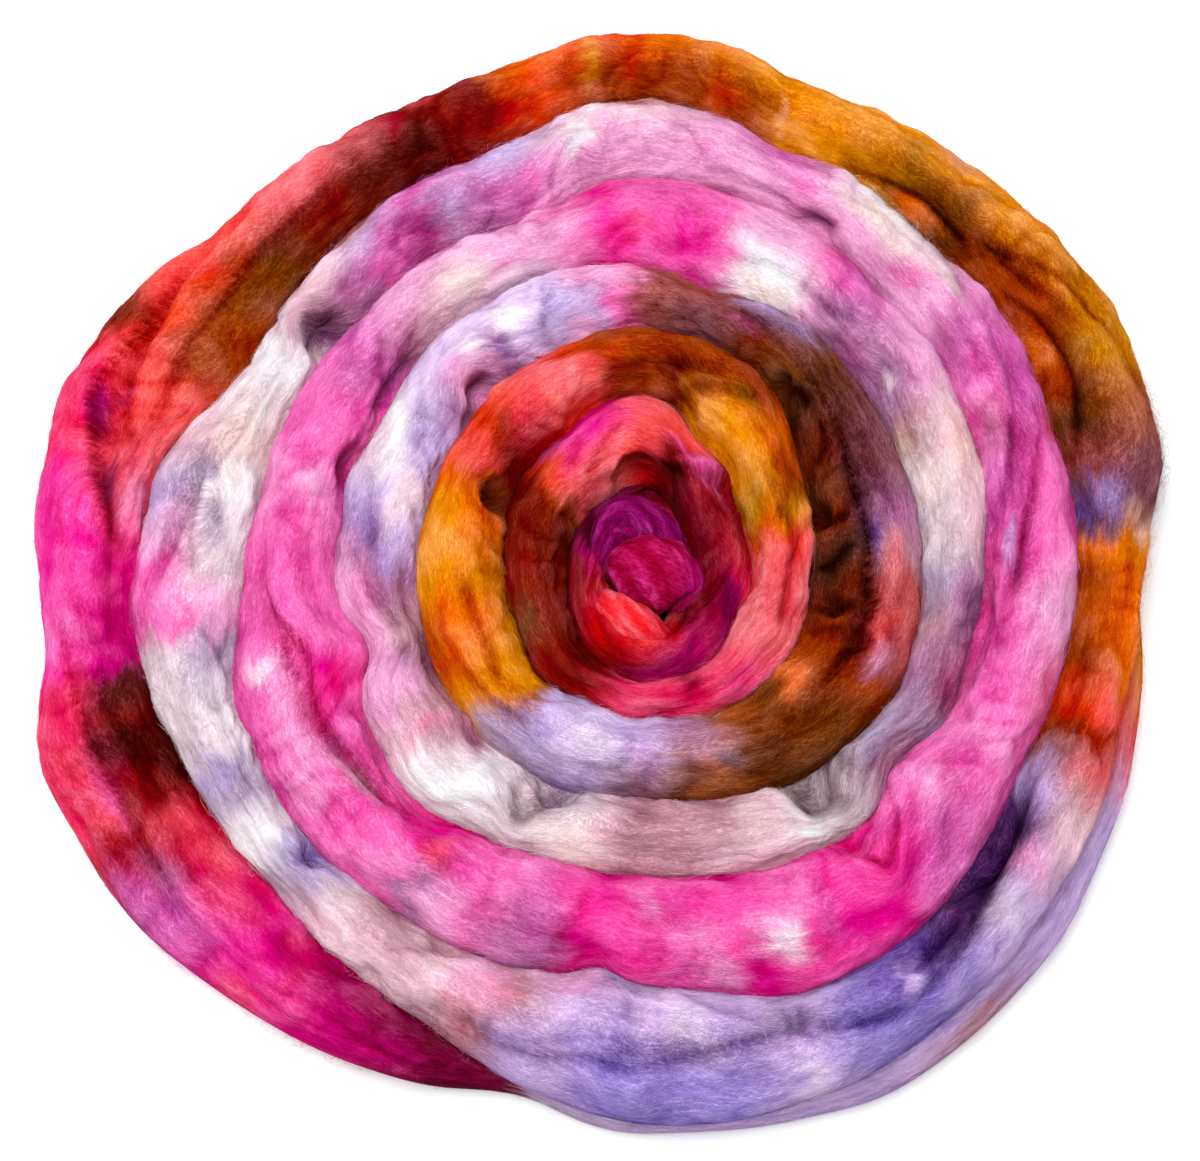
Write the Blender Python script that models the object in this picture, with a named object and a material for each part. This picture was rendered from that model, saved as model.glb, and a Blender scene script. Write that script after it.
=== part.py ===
"""A length of hand-dyed combed wool top, wound out from its curled inner end into a flat coil that lies on a table.

The coil is one solid. Its top is one spiral band: the band's inner edge is the outer edge of the turn before, so
the seams between the turns are sharp valleys shared by both turns. Sizes are in millimetres, +Z is up, and the
solid stands on z = 0 with the middle of its box over the origin."""

import bpy
import numpy as np

METRES_PER_MM = 0.001
TWELVE_O_CLOCK = 0.5 * np.pi

# Outer edge of each turn: its distance from the eye of the coil, at the hours of a clock seen from above.
# Going out, the wool runs backwards round the clock, and it reaches the next row when it is back at twelve.
HOURS = (12, 11, 10, 9, 8, 7, 6, 5, 4, 3, 2, 1)
EDGE_OF_EYE = (38, 24, 19, 17, 18, 22, 22, 18, 19, 18, 19, 24)
EDGE_OF_TURN = (
    # 12   11   10    9    8    7    6    5    4    3    2    1
    (38, 35, 33, 31, 35, 40, 43, 41, 37, 38, 40, 50),
    (70, 62, 59, 54, 54, 55, 57, 59, 59, 59, 66, 88),
    (99, 95, 87, 85, 86, 87, 86, 91, 98, 100, 106, 118),
    (128, 129, 118, 115, 116, 113, 111, 117, 118, 123, 139, 157),
    (172, 160, 153, 150, 156, 150, 147, 157, 150, 159, 173, 190),
    (211, 197, 179, 192, 177, 176, 191, 188, 181, 186, 222, 232),
    (252, 237, 246, 231, 223, 198, 193, 196, 190, 186, 186, 186),
)
LAST_TURN, LAST_HOUR = 7, 3

# Bulges of the seam, where a lobe of wool pushes the outer edge of a turn in or out: how far, and half how long.
EDGE_BULGES = (
    # turn hour  out half_long
    (3, 12.4, -5.5, 20),
    (4, 8.45, -9.0, 14),
    (4, 4.32, -5.5, 14),
    (5, 11.5, -7.0, 26),
    (5, 5.42, 4.0, 20),
    (5, 12.5, -7.0, 24),
    (6, 11.38, -8.0, 30),
    (6, 9.5, 6.5, 22),
    (6, 2.5, 3.5, 22),
    (6, 12.6, -5.0, 34),
    (7, 11.57, -4.5, 32),
    (7, 10.34, -9.5, 27),
    (7, 9.65, 3.5, 26),
    (7, 8.4, 4.0, 22),
    (7, 6.5, -7.5, 26),
)

# Heights along the wool: the turn it belongs to, the hour, the top of the strand, and the seam at its outer edge.
HEIGHTS = (
    # turn hour  top seam
    (1, 12, 36, 27),
    (1, 6, 38, 30),
    (2, 12, 46, 35),
    (2, 6, 48, 36),
    (3, 12, 53, 36),
    (3, 6, 53, 35),
    (4, 12, 48, 33),
    (4, 6, 44, 30),
    (5, 12, 43, 29),
    (5, 6, 44, 27),
    (6, 12, 41, 25),
    (6, 9, 38, 23),
    (6, 7, 36, 20),
    (6, 6, 32, 15),
    (6, 3, 35, 13),
    (7, 12, 36, 13),
    (7, 9, 34, 12),
    (7, 7, 27, 11),
    (7, 5, 14, 9),
    (7, 3, 13, 13),
)

# The strand lies as two lobes, twisted slowly about each other. At each place: how far across the strand the
# groove between them lies (0 is the inner edge, 1 the outer) and how deep it is.
GROOVES = (
    # turn hour across depth
    (1, 12, 0.50, 0),
    (2, 2.0, 0.85, 0),
    (2, 1.0, 0.80, 6),
    (2, 12.4, 0.50, 7),
    (3, 12.0, 0.25, 4),
    (3, 11.4, 0.15, 0),
    (3, 5.4, 0.42, 0),
    (3, 4.5, 0.46, 7),
    (3, 3.3, 0.52, 10),
    (3, 2.3, 0.52, 9),
    (3, 1.6, 0.60, 5),
    (3, 1.1, 0.75, 0),
    (4, 11.0, 0.60, 0),
    (4, 9.0, 0.50, 4),
    (4, 8.0, 0.40, 0),
    (4, 7.3, 0.15, 0),
    (4, 7.0, 0.30, 7),
    (4, 6.6, 0.50, 4),
    (4, 6.2, 0.60, 0),
    (5, 9.4, 0.85, 0),
    (5, 8.8, 0.72, 7),
    (5, 8.2, 0.42, 9),
    (5, 7.6, 0.18, 7),
    (5, 7.1, 0.14, 0),
    (5, 3.8, 0.14, 0),
    (5, 3.0, 0.30, 6),
    (5, 2.4, 0.50, 7),
    (5, 1.8, 0.70, 4),
    (5, 1.3, 0.85, 0),
    (6, 10.2, 0.30, 0),
    (6, 9.7, 0.45, 7),
    (6, 9.2, 0.62, 7),
    (6, 8.8, 0.75, 0),
    (6, 7.1, 0.92, 0),
    (6, 6.6, 0.80, 6),
    (6, 6.2, 0.64, 8),
    (6, 5.8, 0.46, 9),
    (6, 5.45, 0.32, 9),
    (6, 5.25, 0.50, 8),
    (6, 5.0, 0.74, 6),
    (6, 4.85, 0.60, 6),
    (6, 4.6, 0.40, 9),
    (6, 4.3, 0.28, 8),
    (6, 3.95, 0.14, 0),
    (6, 2.7, 0.25, 0),
    (6, 2.0, 0.32, 7),
    (6, 1.2, 0.40, 8),
    (7, 12.0, 0.40, 4),
    (7, 11.3, 0.55, 0),
    (7, 10.8, 0.86, 0),
    (7, 10.2, 0.78, 9),
    (7, 9.6, 0.48, 12),
    (7, 9.1, 0.18, 10),
    (7, 8.8, 0.14, 0),
    (7, 8.7, 0.50, 0),
    (7, 8.3, 0.60, 7),
    (7, 7.7, 0.76, 6),
    (7, 7.2, 0.86, 0),
)

# Hollows at the seams, where a fold of the strand leaves a pocket: place, across, depth, half length, half width.
POCKETS = (
    # turn hour across depth long wide
    (2, 12.0, 0.05, 8, 9, 6),
    (3, 9.8, 0.10, 8, 9, 6),
    (3, 2.8, 0.14, 5, 9, 7),
    (3, 3.6, 0.14, 5, 9, 7),
    (3, 1.2, 0.12, 6, 8, 6),
    (4, 10.5, 0.12, 8, 10, 7),
    (4, 6.8, 0.18, 8, 9, 7),
    (4, 4.9, 0.22, 10, 14, 8),
    (5, 4.85, 0.25, 7, 9, 7),
    (6, 10.3, 0.18, 11, 13, 9),
    (6, 4.5, 0.14, 10, 28, 8),
)

# Lobes of the curled inner end, in the eye: middle, reach across and rise.
CURL = (
    # x    y  reach rise
    (4, 4, 11, 11),
    (-9, -8, 8, 7),
    (2, -14, 8, 6),
    (6, 17, 9, 6),
    (-10, 14, 6, -7),
    (-2, 6, 4, -5),
)

SECTIONS_IN_TURN = 90
INNER_LOBE = (0.14, 0.45, 0.80)
OUTER_LOBE = (0.20, 0.55, 0.86)
GROOVE_REACH = 9.0
GROOVE_POWER = 1.5
FULL_WIDTH = 20.0
CREST_LEAN = 0.88
FLANK_POWER = 2.4
FLANK_ROOT = 0.62
SEAM_HOLD = 4.0
EYE_RINGS = (0.78, 0.52, 0.26)
EYE_FLOOR = 30.0
RIM_RINGS = ((2.5, 4.5), (9.0, 0.0))
BASE_RING = 0.45


def along(turn, hour):
    """How far along the wool a clock hour of a turn lies, in turns from its start at twelve."""
    return turn - 1 + ((12.0 - hour) % 12.0) / 12.0


def smooth_table(values, first, at):
    """A smooth curve through values spaced one clock hour apart from the place first, read at the places at."""
    values = np.asarray(values, float)
    steps = np.clip((at - first) * len(HOURS), 0, len(values) - 1.000001)
    low = steps.astype(int)
    part = steps - low
    before, here, after, beyond = (values[np.clip(low + k, 0, len(values) - 1)] for k in (-1, 0, 1, 2))
    pull = 0.5 * (after - before)
    push = 0.5 * (beyond - here)
    return (
        here * (2 * part**3 - 3 * part**2 + 1)
        + pull * (part**3 - 2 * part**2 + part)
        + after * (3 * part**2 - 2 * part**3)
        + push * (part**3 - part**2)
    )


def outer_edge(at):
    """Distance of the seam from the eye at the places at. One turn before twelve of turn 1 it is the eye's edge. A
    bulge is full at its place and falls off as e to the minus square of the distance along the turn."""
    values = list(EDGE_OF_EYE)
    for row in EDGE_OF_TURN:
        values.extend(row)
    even = smooth_table(values, -1.0, at)
    edge = even
    for turn, hour, out, half_long in EDGE_BULGES:
        away = (at - along(turn, hour)) * 2 * np.pi * even / half_long
        edge = edge + out * np.exp(-(away**2))
    return edge


def height_of(column, at):
    """The height in a column of HEIGHTS at the places at, running evenly from each row to the next."""
    places = [along(row[0], row[1]) for row in HEIGHTS]
    return np.interp(at, places, [row[column] for row in HEIGHTS])


def bulge(across):
    """Rise of the strand's round back across the strand: 0 at both edges and 1 on top, with steep flanks."""
    lean = across**CREST_LEAN
    return (1 - np.abs(2 * lean - 1) ** FLANK_POWER) ** FLANK_ROOT


def fade(value):
    """Rises smoothly from 0 at 0 to 1 at 1."""
    value = np.clip(value, 0, 1)
    return value * value * (3 - 2 * value)


def groove(at):
    """Where the groove between the strand's two lobes lies across it, and how deep it is, at the places at."""
    places = [along(row[0], row[1]) for row in GROOVES]
    return (np.interp(at, places, [row[k] for row in GROOVES]) for k in (2, 3))


def pressed(at, across, width):
    """How deep the groove and the pockets press the strand in, at places along it and across it."""
    middle, deep = groove(at)
    off = np.abs(across - middle) * width
    depth = deep * np.clip(1 - off / GROOVE_REACH, 0, 1) ** GROOVE_POWER
    for turn, hour, side, deep, half_long, half_wide in POCKETS:
        place = along(turn, hour)
        run = (at - place) * 2 * np.pi * outer_edge(at)
        off = (across - side) * width
        depth = np.maximum(depth, deep * np.exp(-((run / half_long) ** 2) - (off / half_wide) ** 2))
    return depth


def spiral_points(distance, at, height):
    """Points at a distance from the eye, turned backwards round the clock from twelve."""
    angle = TWELVE_O_CLOCK + 2 * np.pi * at
    return np.stack([distance * np.cos(angle), distance * np.sin(angle), height], -1)


def seam_points(places):
    """The seam between the turns, from the edge of the eye out to the rim."""
    return spiral_points(outer_edge(places), places, height_of(3, places))


def columns_across(at):
    """How far across the strand each column of points lies: three on each lobe and one down in the groove."""
    middle, _ = groove(at)
    inner = middle * np.array(INNER_LOBE)
    outer = middle + (1 - middle) * np.array(OUTER_LOBE)
    return np.concatenate([inner, middle, outer], axis=1)


def back_points(places):
    """The strand's round back between its two seams: one row of points for each place, one for each column."""
    at = places[:, None]
    across = columns_across(at)
    inner = outer_edge(at - 1)
    width = outer_edge(at) - inner
    full = fade(width / FULL_WIDTH)
    low = height_of(3, at - 1) * (1 - across) + height_of(3, at) * across
    rise = (height_of(2, at) - low) * bulge(across)
    sunk = pressed(at, across, width) * np.minimum(1, SEAM_HOLD * bulge(across))
    return spiral_points(inner + width * across, at + 0 * across, low + full * (rise - sunk))


def eye_points(ring):
    """Rings of the curled inner end, shrunk from the edge of the eye to its middle, and raised by its lobes."""
    rings = [ring[:, :2] * shrink for shrink in EYE_RINGS]
    flat = np.concatenate(rings + [np.zeros((1, 2))])
    height = np.full(len(flat), EYE_FLOOR)
    for x, y, reach, rise in CURL:
        height += rise * np.exp(-((flat[:, 0] - x) ** 2 + (flat[:, 1] - y) ** 2) / reach**2)
    return np.column_stack([flat, height])


def rim_points(rim):
    """Rings that carry the rim round and under to the flat base."""
    reach = np.linalg.norm(rim[:, :2], axis=1)[:, None]
    rings = []
    for inset, height in RIM_RINGS:
        rings.append(np.column_stack([rim[:, :2] * (1 - inset / reach), np.full(len(rim), height)]))
    inner = rings[-1].copy()
    inner[:, :2] *= BASE_RING
    return np.concatenate(rings + [inner, np.zeros((1, 3))])


def quads_between(first, second):
    """Faces that join two rows of points with the same count."""
    return [
        (first[k], second[k], second[k + 1], first[k + 1])
        for k in range(len(first) - 1)
    ]


def fan_of(ring, middle):
    """Faces from a closed ring of points to a middle one."""
    return [(ring[k], ring[(k + 1) % len(ring)], middle) for k in range(len(ring))]


def coil_mesh():
    """All points of the coil and the faces that close it."""
    last = round(along(LAST_TURN, LAST_HOUR) * SECTIONS_IN_TURN)
    seam_places = np.arange(-SECTIONS_IN_TURN, last + 1) / SECTIONS_IN_TURN
    back_places = np.arange(0, last + 1) / SECTIONS_IN_TURN
    seam = seam_points(seam_places)
    back = back_points(back_places)
    eye_ring = seam[:SECTIONS_IN_TURN]
    rim = seam[-SECTIONS_IN_TURN - 1 : -1]
    eye = eye_points(eye_ring)
    under = rim_points(rim)

    points = np.concatenate([seam, back.reshape(-1, 3), eye, under])
    back_start = len(seam)
    eye_start = back_start + back.shape[0] * back.shape[1]
    under_start = eye_start + len(eye)

    seam_ids = np.arange(len(seam))
    seam_ids[SECTIONS_IN_TURN] = 0
    seam_ids[-1] = seam_ids[-1 - SECTIONS_IN_TURN]
    back_ids = back_start + np.arange(back.shape[0] * back.shape[1]).reshape(back.shape[:2])
    back_ids[0] = seam_ids[0]
    back_ids[-1] = seam_ids[-1]

    rows = [seam_ids[: last + 1]]
    rows.extend(back_ids.T)
    rows.append(seam_ids[SECTIONS_IN_TURN:])
    faces = []
    for inner, outer in zip(rows, rows[1:]):
        faces.extend(quads_between(inner, outer))

    def closed(ids):
        return np.append(ids, ids[0])

    ring = seam_ids[:SECTIONS_IN_TURN]
    for k in range(len(EYE_RINGS)):
        inside = eye_start + k * SECTIONS_IN_TURN + np.arange(SECTIONS_IN_TURN)
        faces.extend(quads_between(closed(inside), closed(ring)))
        ring = inside
    faces.extend(fan_of(ring, under_start - 1))

    ring = seam_ids[-SECTIONS_IN_TURN - 1 : -1]
    for k in range(len(RIM_RINGS) + 1):
        inside = under_start + k * SECTIONS_IN_TURN + np.arange(SECTIONS_IN_TURN)
        faces.extend(quads_between(closed(ring), closed(inside)))
        ring = inside
    faces.extend(fan_of(ring[::-1], len(points) - 1))
    return points, faces


def tidy_faces(faces):
    """The faces without repeated corners, as triangles where a row of the strand starts or ends in one point."""
    kept = []
    for face in faces:
        corners = list(dict.fromkeys(int(corner) for corner in face))
        if len(corners) > 2:
            kept.append(corners)
    return kept


def wool_material():
    """Matt dyed wool, in the mean pink of the coil."""
    material = bpy.data.materials.new("dyed_wool")
    material.use_nodes = True
    shader = material.node_tree.nodes["Principled BSDF"]
    shader.inputs["Base Color"].default_value = (0.62, 0.20, 0.28, 1.0)
    shader.inputs["Roughness"].default_value = 0.9
    shader.inputs["Metallic"].default_value = 0.0
    return material


def wound_roving():
    """The coil as one object, with the middle of its box over the origin."""
    points, faces = coil_mesh()
    faces = tidy_faces(faces)
    used = np.unique(np.concatenate([np.array(face) for face in faces]))
    number = np.full(len(points), -1)
    number[used] = np.arange(len(used))
    points = points[used]
    faces = [[int(number[corner]) for corner in face] for face in faces]
    middle = 0.5 * (points.min(axis=0) + points.max(axis=0))
    points[:, :2] -= middle[:2]
    mesh = bpy.data.meshes.new("roving")
    mesh.from_pydata((points * METRES_PER_MM).tolist(), [], faces)
    mesh.polygons.foreach_set("use_smooth", [True] * len(mesh.polygons))
    mesh.materials.append(wool_material())
    mesh.update()
    coil = bpy.data.objects.new("roving", mesh)
    bpy.context.scene.collection.objects.link(coil)
    return coil


for leftover in list(bpy.data.objects):
    bpy.data.objects.remove(leftover, do_unlink=True)
wound_roving()
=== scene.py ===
"""The looks of a coil of hand-dyed wool roving: one combed strand wound flat from its curled inner end.

Sizes are in millimetres and become metres when a mesh is made. Places along the wool are in turns: 0 is where
the first turn starts at twelve o'clock, and the wool runs backwards round the clock on its way out. Places
across the strand run from 0 at its inner seam to 1 at its outer one."""

import bpy
import numpy as np
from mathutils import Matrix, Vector


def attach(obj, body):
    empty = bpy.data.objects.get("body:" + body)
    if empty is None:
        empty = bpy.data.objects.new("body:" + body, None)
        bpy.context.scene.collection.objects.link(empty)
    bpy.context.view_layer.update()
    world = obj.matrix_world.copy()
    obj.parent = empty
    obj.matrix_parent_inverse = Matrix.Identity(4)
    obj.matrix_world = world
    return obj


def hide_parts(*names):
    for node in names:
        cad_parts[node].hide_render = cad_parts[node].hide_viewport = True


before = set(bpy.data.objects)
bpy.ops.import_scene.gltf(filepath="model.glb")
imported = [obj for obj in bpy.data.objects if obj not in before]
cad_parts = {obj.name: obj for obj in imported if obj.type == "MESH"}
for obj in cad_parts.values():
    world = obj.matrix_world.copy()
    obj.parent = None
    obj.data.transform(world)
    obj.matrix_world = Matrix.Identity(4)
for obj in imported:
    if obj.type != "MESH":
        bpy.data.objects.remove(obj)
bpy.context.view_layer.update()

METRES_PER_MM = 0.001
TINY = 1e-6
# The eye of the coil, which all the points below are measured from.
EYE = (16.49, -29.48)

# -----------------------------------------------------------------------------------------------------------
# The wound form, as in the solid.

# Outer edge of each turn: its distance from the eye of the coil, at the hours of a clock seen from above.
HOURS = (12, 11, 10, 9, 8, 7, 6, 5, 4, 3, 2, 1)
EDGE_OF_EYE = (38, 24, 19, 17, 18, 22, 22, 18, 19, 18, 19, 24)
EDGE_OF_TURN = (
    # 12   11   10    9    8    7    6    5    4    3    2    1
    (38, 35, 33, 31, 35, 40, 43, 41, 37, 38, 40, 50),
    (70, 62, 59, 54, 54, 55, 57, 59, 59, 59, 66, 88),
    (99, 95, 87, 85, 86, 87, 86, 91, 98, 100, 106, 118),
    (128, 129, 118, 115, 116, 113, 111, 117, 118, 123, 139, 157),
    (172, 160, 153, 150, 156, 150, 147, 157, 150, 159, 173, 190),
    (211, 197, 179, 192, 177, 176, 191, 188, 181, 186, 222, 232),
    (252, 237, 246, 231, 223, 198, 193, 196, 190, 186, 186, 186),
)
LAST_TURN, LAST_HOUR = 7, 3
# Twelve o'clock is a quarter of a turn on from the x axis.
TWELVE = 0.25

# Heights along the wool: the place, the strand's top there, and the seam at its outer edge.
HEIGHTS = (
    # turn hour  top seam
    (1, 12, 36, 27),
    (1, 6, 38, 30),
    (2, 12, 46, 35),
    (2, 6, 48, 36),
    (3, 12, 53, 36),
    (3, 6, 53, 35),
    (4, 12, 48, 33),
    (4, 6, 44, 30),
    (5, 12, 43, 29),
    (5, 6, 44, 27),
    (6, 12, 41, 25),
    (6, 9, 38, 23),
    (6, 7, 36, 20),
    (6, 6, 32, 15),
    (6, 3, 35, 13),
    (7, 12, 36, 13),
    (7, 9, 34, 12),
    (7, 7, 27, 11),
    (7, 5, 14, 9),
    (7, 3, 13, 13),
)

# The groove between the strand's two lobes: how far across it lies and how deep it is.
GROOVES = (
    # turn hour across depth
    (1, 12, 0.50, 0),
    (2, 2.0, 0.85, 0),
    (2, 1.0, 0.80, 6),
    (2, 12.4, 0.50, 7),
    (3, 12.0, 0.25, 4),
    (3, 11.4, 0.15, 0),
    (3, 5.4, 0.42, 0),
    (3, 4.5, 0.46, 7),
    (3, 3.3, 0.52, 10),
    (3, 2.3, 0.52, 9),
    (3, 1.6, 0.60, 5),
    (3, 1.1, 0.75, 0),
    (4, 11.0, 0.60, 0),
    (4, 9.0, 0.50, 4),
    (4, 8.0, 0.40, 0),
    (4, 7.3, 0.15, 0),
    (4, 7.0, 0.30, 7),
    (4, 6.6, 0.50, 4),
    (4, 6.2, 0.60, 0),
    (5, 9.4, 0.85, 0),
    (5, 8.8, 0.72, 7),
    (5, 8.2, 0.42, 9),
    (5, 7.6, 0.18, 7),
    (5, 7.1, 0.14, 0),
    (5, 3.8, 0.14, 0),
    (5, 3.0, 0.30, 6),
    (5, 2.4, 0.50, 7),
    (5, 1.8, 0.70, 4),
    (5, 1.3, 0.85, 0),
    (6, 10.2, 0.30, 0),
    (6, 9.7, 0.45, 7),
    (6, 9.2, 0.62, 7),
    (6, 8.8, 0.75, 0),
    (6, 7.1, 0.92, 0),
    (6, 6.6, 0.80, 6),
    (6, 6.2, 0.64, 8),
    (6, 5.8, 0.46, 9),
    (6, 5.45, 0.32, 9),
    (6, 5.25, 0.50, 8),
    (6, 5.0, 0.74, 6),
    (6, 4.85, 0.60, 6),
    (6, 4.6, 0.40, 9),
    (6, 4.3, 0.28, 8),
    (6, 3.95, 0.14, 0),
    (6, 2.7, 0.25, 0),
    (6, 2.0, 0.32, 7),
    (6, 1.2, 0.40, 8),
    (7, 12.0, 0.40, 4),
    (7, 11.3, 0.55, 0),
    (7, 10.8, 0.86, 0),
    (7, 10.2, 0.78, 9),
    (7, 9.6, 0.48, 12),
    (7, 9.1, 0.18, 10),
    (7, 8.8, 0.14, 0),
    (7, 8.7, 0.50, 0),
    (7, 8.3, 0.60, 7),
    (7, 7.7, 0.76, 6),
    (7, 7.2, 0.86, 0),
)

# Bulges of the seam: a lobe of wool pushes the outer edge of a turn in or out there.
EDGE_BULGES = (
    # turn hour  out half_long
    (1, 12.6, -3, 7),
    (2, 11.5, 2, 14),
    (2, 7.45, 3, 13),
    (2, 6.3, 1.5, 9),
    (3, 11.6, -2.5, 22),
    (3, 6.2, -2, 9),
    (3, 5.0, 1, 16),
    (3, 12.4, -5.5, 20),
    (4, 11.2, -1.5, 16),
    (4, 9.6, 2, 12),
    (4, 8.45, -9, 14),
    (4, 7.4, 3, 18),
    (4, 4.8, 2, 12),
    (4, 4.32, -5.5, 14),
    (4, 1.5, -2, 14),
    (4, 1.25, -2.5, 12),
    (5, 11.5, -7, 26),
    (5, 8.45, 3, 20),
    (5, 6.25, -4, 9),
    (5, 5.42, 4, 20),
    (5, 2.3, -2.5, 18),
    (5, 1.25, -2.5, 22),
    (5, 12.5, -7, 24),
    (6, 11.38, -8, 30),
    (6, 10.3, 1.5, 12),
    (6, 9.5, 6.5, 22),
    (6, 8.9, 2, 14),
    (6, 2.5, 3.5, 22),
    (6, 12.6, -5, 34),
    (7, 11.57, -4.5, 32),
    (7, 10.34, -9.5, 27),
    (7, 10.0, -1.5, 12),
    (7, 9.65, 3.5, 26),
    (7, 9.2, 2, 18),
    (7, 8.78, -3, 14),
    (7, 8.4, 4, 22),
    (7, 6.5, -7.5, 26),
    (7, 5.25, 2, 20),
)
# The whole seam wavers by so many mm, so many times a turn, and in full only this far from the eye.
EDGE_WAVER = 1.3
WAVERS_A_TURN = 26
FULL_WAVER_AT = 120
WAVER_SEED = 9

# Hollows at the seams, where a fold of the strand leaves a pocket: place, depth, half length, half width.
POCKETS = (
    # turn hour across deep long wide
    (2, 11.85, 0.04, 6, 12, 4),
    (3, 9.76, 0.12, 13, 5, 5),
    (3, 3.5, 0.18, 8, 4, 5),
    (3, 2.45, 0.08, 8, 5, 4),
    (3, 1.17, 0.08, 9, 4, 4),
    (4, 10.6, 0.06, 11, 7, 6),
    (4, 6.72, 0.08, 12, 7, 6),
    (4, 6.88, 0.50, 6, 3, 6),
    (4, 4.87, 0.16, 18, 8, 15),
    (5, 10.2, 0.03, 6, 22, 4),
    (5, 9.7, 0.04, 6, 9, 4),
    (5, 7.6, 0.02, 5, 26, 4),
    (5, 4.86, 0.12, 7, 5, 5),
    (5, 3.4, 0.02, 5, 26, 4),
    (5, 12.82, 0.04, 9, 8, 5),
    (6, 10.28, 0.18, 16, 9, 10),
    (6, 7.62, 0.04, 6, 5, 6),
    (6, 6.9, 0.02, 6, 8, 5),
    (6, 4.75, 0.34, 9, 12, 6),
    (6, 4.35, 0.16, 15, 24, 7),
    (6, 2.65, 0.05, 6, 12, 5),
)

# A groove reaches so far to either side and has this share of its table's depth.
GROOVE_REACH = 9.0
GROOVE_SHARE = 0.8
GROOVE_POWER = 1.6
POCKET_POWER = 1.6
# A strand narrower than this is flatter.
FULL_WIDTH = 20.0
CREST_LEAN = 0.88
FLANK_POWER = 2.4
FLANK_ROOT = 0.62


def along(turn, hour):
    """How far along the wool a clock hour of a turn lies, in turns from its start at twelve."""
    return turn - 1 + ((12.0 - hour) % 12.0) / 12.0


def fade(value):
    """Rises smoothly from 0 at 0 to 1 at 1: three times the square less twice the cube."""
    value = np.clip(value, 0, 1)
    return value * value * (3 - 2 * value)


def smooth_through(values, place):
    """A smooth curve through evenly spaced values or rows of them, read at places counted in their steps:
    between each two a cubic, whose slope at a value is half the step between the two beside it."""
    values = np.asarray(values, float)
    place = np.clip(place, 0, len(values) - 1 - TINY)
    low = place.astype(int)
    part = (place - low).reshape(place.shape + (1,) * (values.ndim - 1))
    before, here, after, beyond = (values[np.clip(low + k, 0, len(values) - 1)] for k in (-1, 0, 1, 2))
    return (
        here * (2 * part**3 - 3 * part**2 + 1)
        + 0.5 * (after - before) * (part**3 - 2 * part**2 + part)
        + after * (3 * part**2 - 2 * part**3)
        + 0.5 * (beyond - here) * (part**3 - part**2)
    )


def smooth_path(rows, count):
    """So many points, evenly spread over the steps between the rows, on the smooth curve through them."""
    return smooth_through(rows, np.linspace(0, len(rows) - 1 - TINY, count))


def outer_edge(at):
    """Distance of the seam from the eye at the places at. One turn before twelve of turn 1 it is the eye's
    edge. A bulge falls off as e to the minus square of the distance along, and the whole seam wavers a
    little."""
    values = list(EDGE_OF_EYE)
    for row in EDGE_OF_TURN:
        values.extend(row)
    edge = smooth_through(values, (at + 1) * len(HOURS))
    full = np.clip(edge / FULL_WAVER_AT, 0, 1)
    wavered = edge + EDGE_WAVER * full * soft_noise(at * WAVERS_A_TURN, 0 * at, WAVER_SEED)
    for turn, hour, out, half_long in EDGE_BULGES:
        away = (at - along(turn, hour)) * 2 * np.pi * edge / half_long
        wavered = wavered + out * np.exp(-(away**2))
    return wavered


def read_rows(rows, column, at):
    """A column of a table of places along the wool, running evenly from each row to the next."""
    places = [along(row[0], row[1]) for row in rows]
    return np.interp(at, places, [row[column] for row in rows])


def of_turns(table):
    """The rows of a table that is kept turn by turn, each with its turn in front."""
    return [(turn, *row) for turn, rows in table.items() for row in rows]


def near(at, across, width, circle, row, lean=0):
    """Squared distance from a table row's place, in its half lengths along and its half widths across. A turn
    is as long as its circle. What leans lies on along the strand by so many mm for each one across it."""
    turn, hour, side, half_long, half_wide = row
    over = (across - side) * width
    run = (at - along(turn, hour)) * circle + lean * over
    return (run / half_long) ** 2 + (over / half_wide) ** 2


# -----------------------------------------------------------------------------------------------------------
# Unevenness of the wool.

LATTICE = 256
NOISE_GAIN = 1.5

# Waves of noise, each with how much it does, how long and how wide it is in mm, and its seed.
FIBRE_WANDER = ((2.0, 22, 14, 7), (0.7, 7, 6, 8))
LOCK_WANDER = ((3.5, 40, 16, 1),)
LUMPS = ((2.0, 20, 14, 4), (1.1, 9, 8, 6))
DYE_RUN = ((6, 22, 9, 21), (3.0, 16, 2.6, 22), (2.0, 7, 1.3, 23))
DYE_SLIP = ((2.5, 20, 12, 24), (0.8, 6, 3, 27))
DYE_STREAKS = ((0.07, 16, 1.4, 25), (0.10, 26, 7, 26))
WHERE_LOCKS = ((1.2, 70, 20, 5),)
WHERE_PUCKERS = ((1.6, 55, 24, 10),)

# Creases of noise, each with how long and how wide its waves are in mm, its seed and its power.
BROAD_LOCKS = (60, 6.0, 2, 0.7)
NARROW_LOCKS = (26, 2.4, 3, 0.8)
PUCKERS = (11, 24, 9, 0.7)


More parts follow.
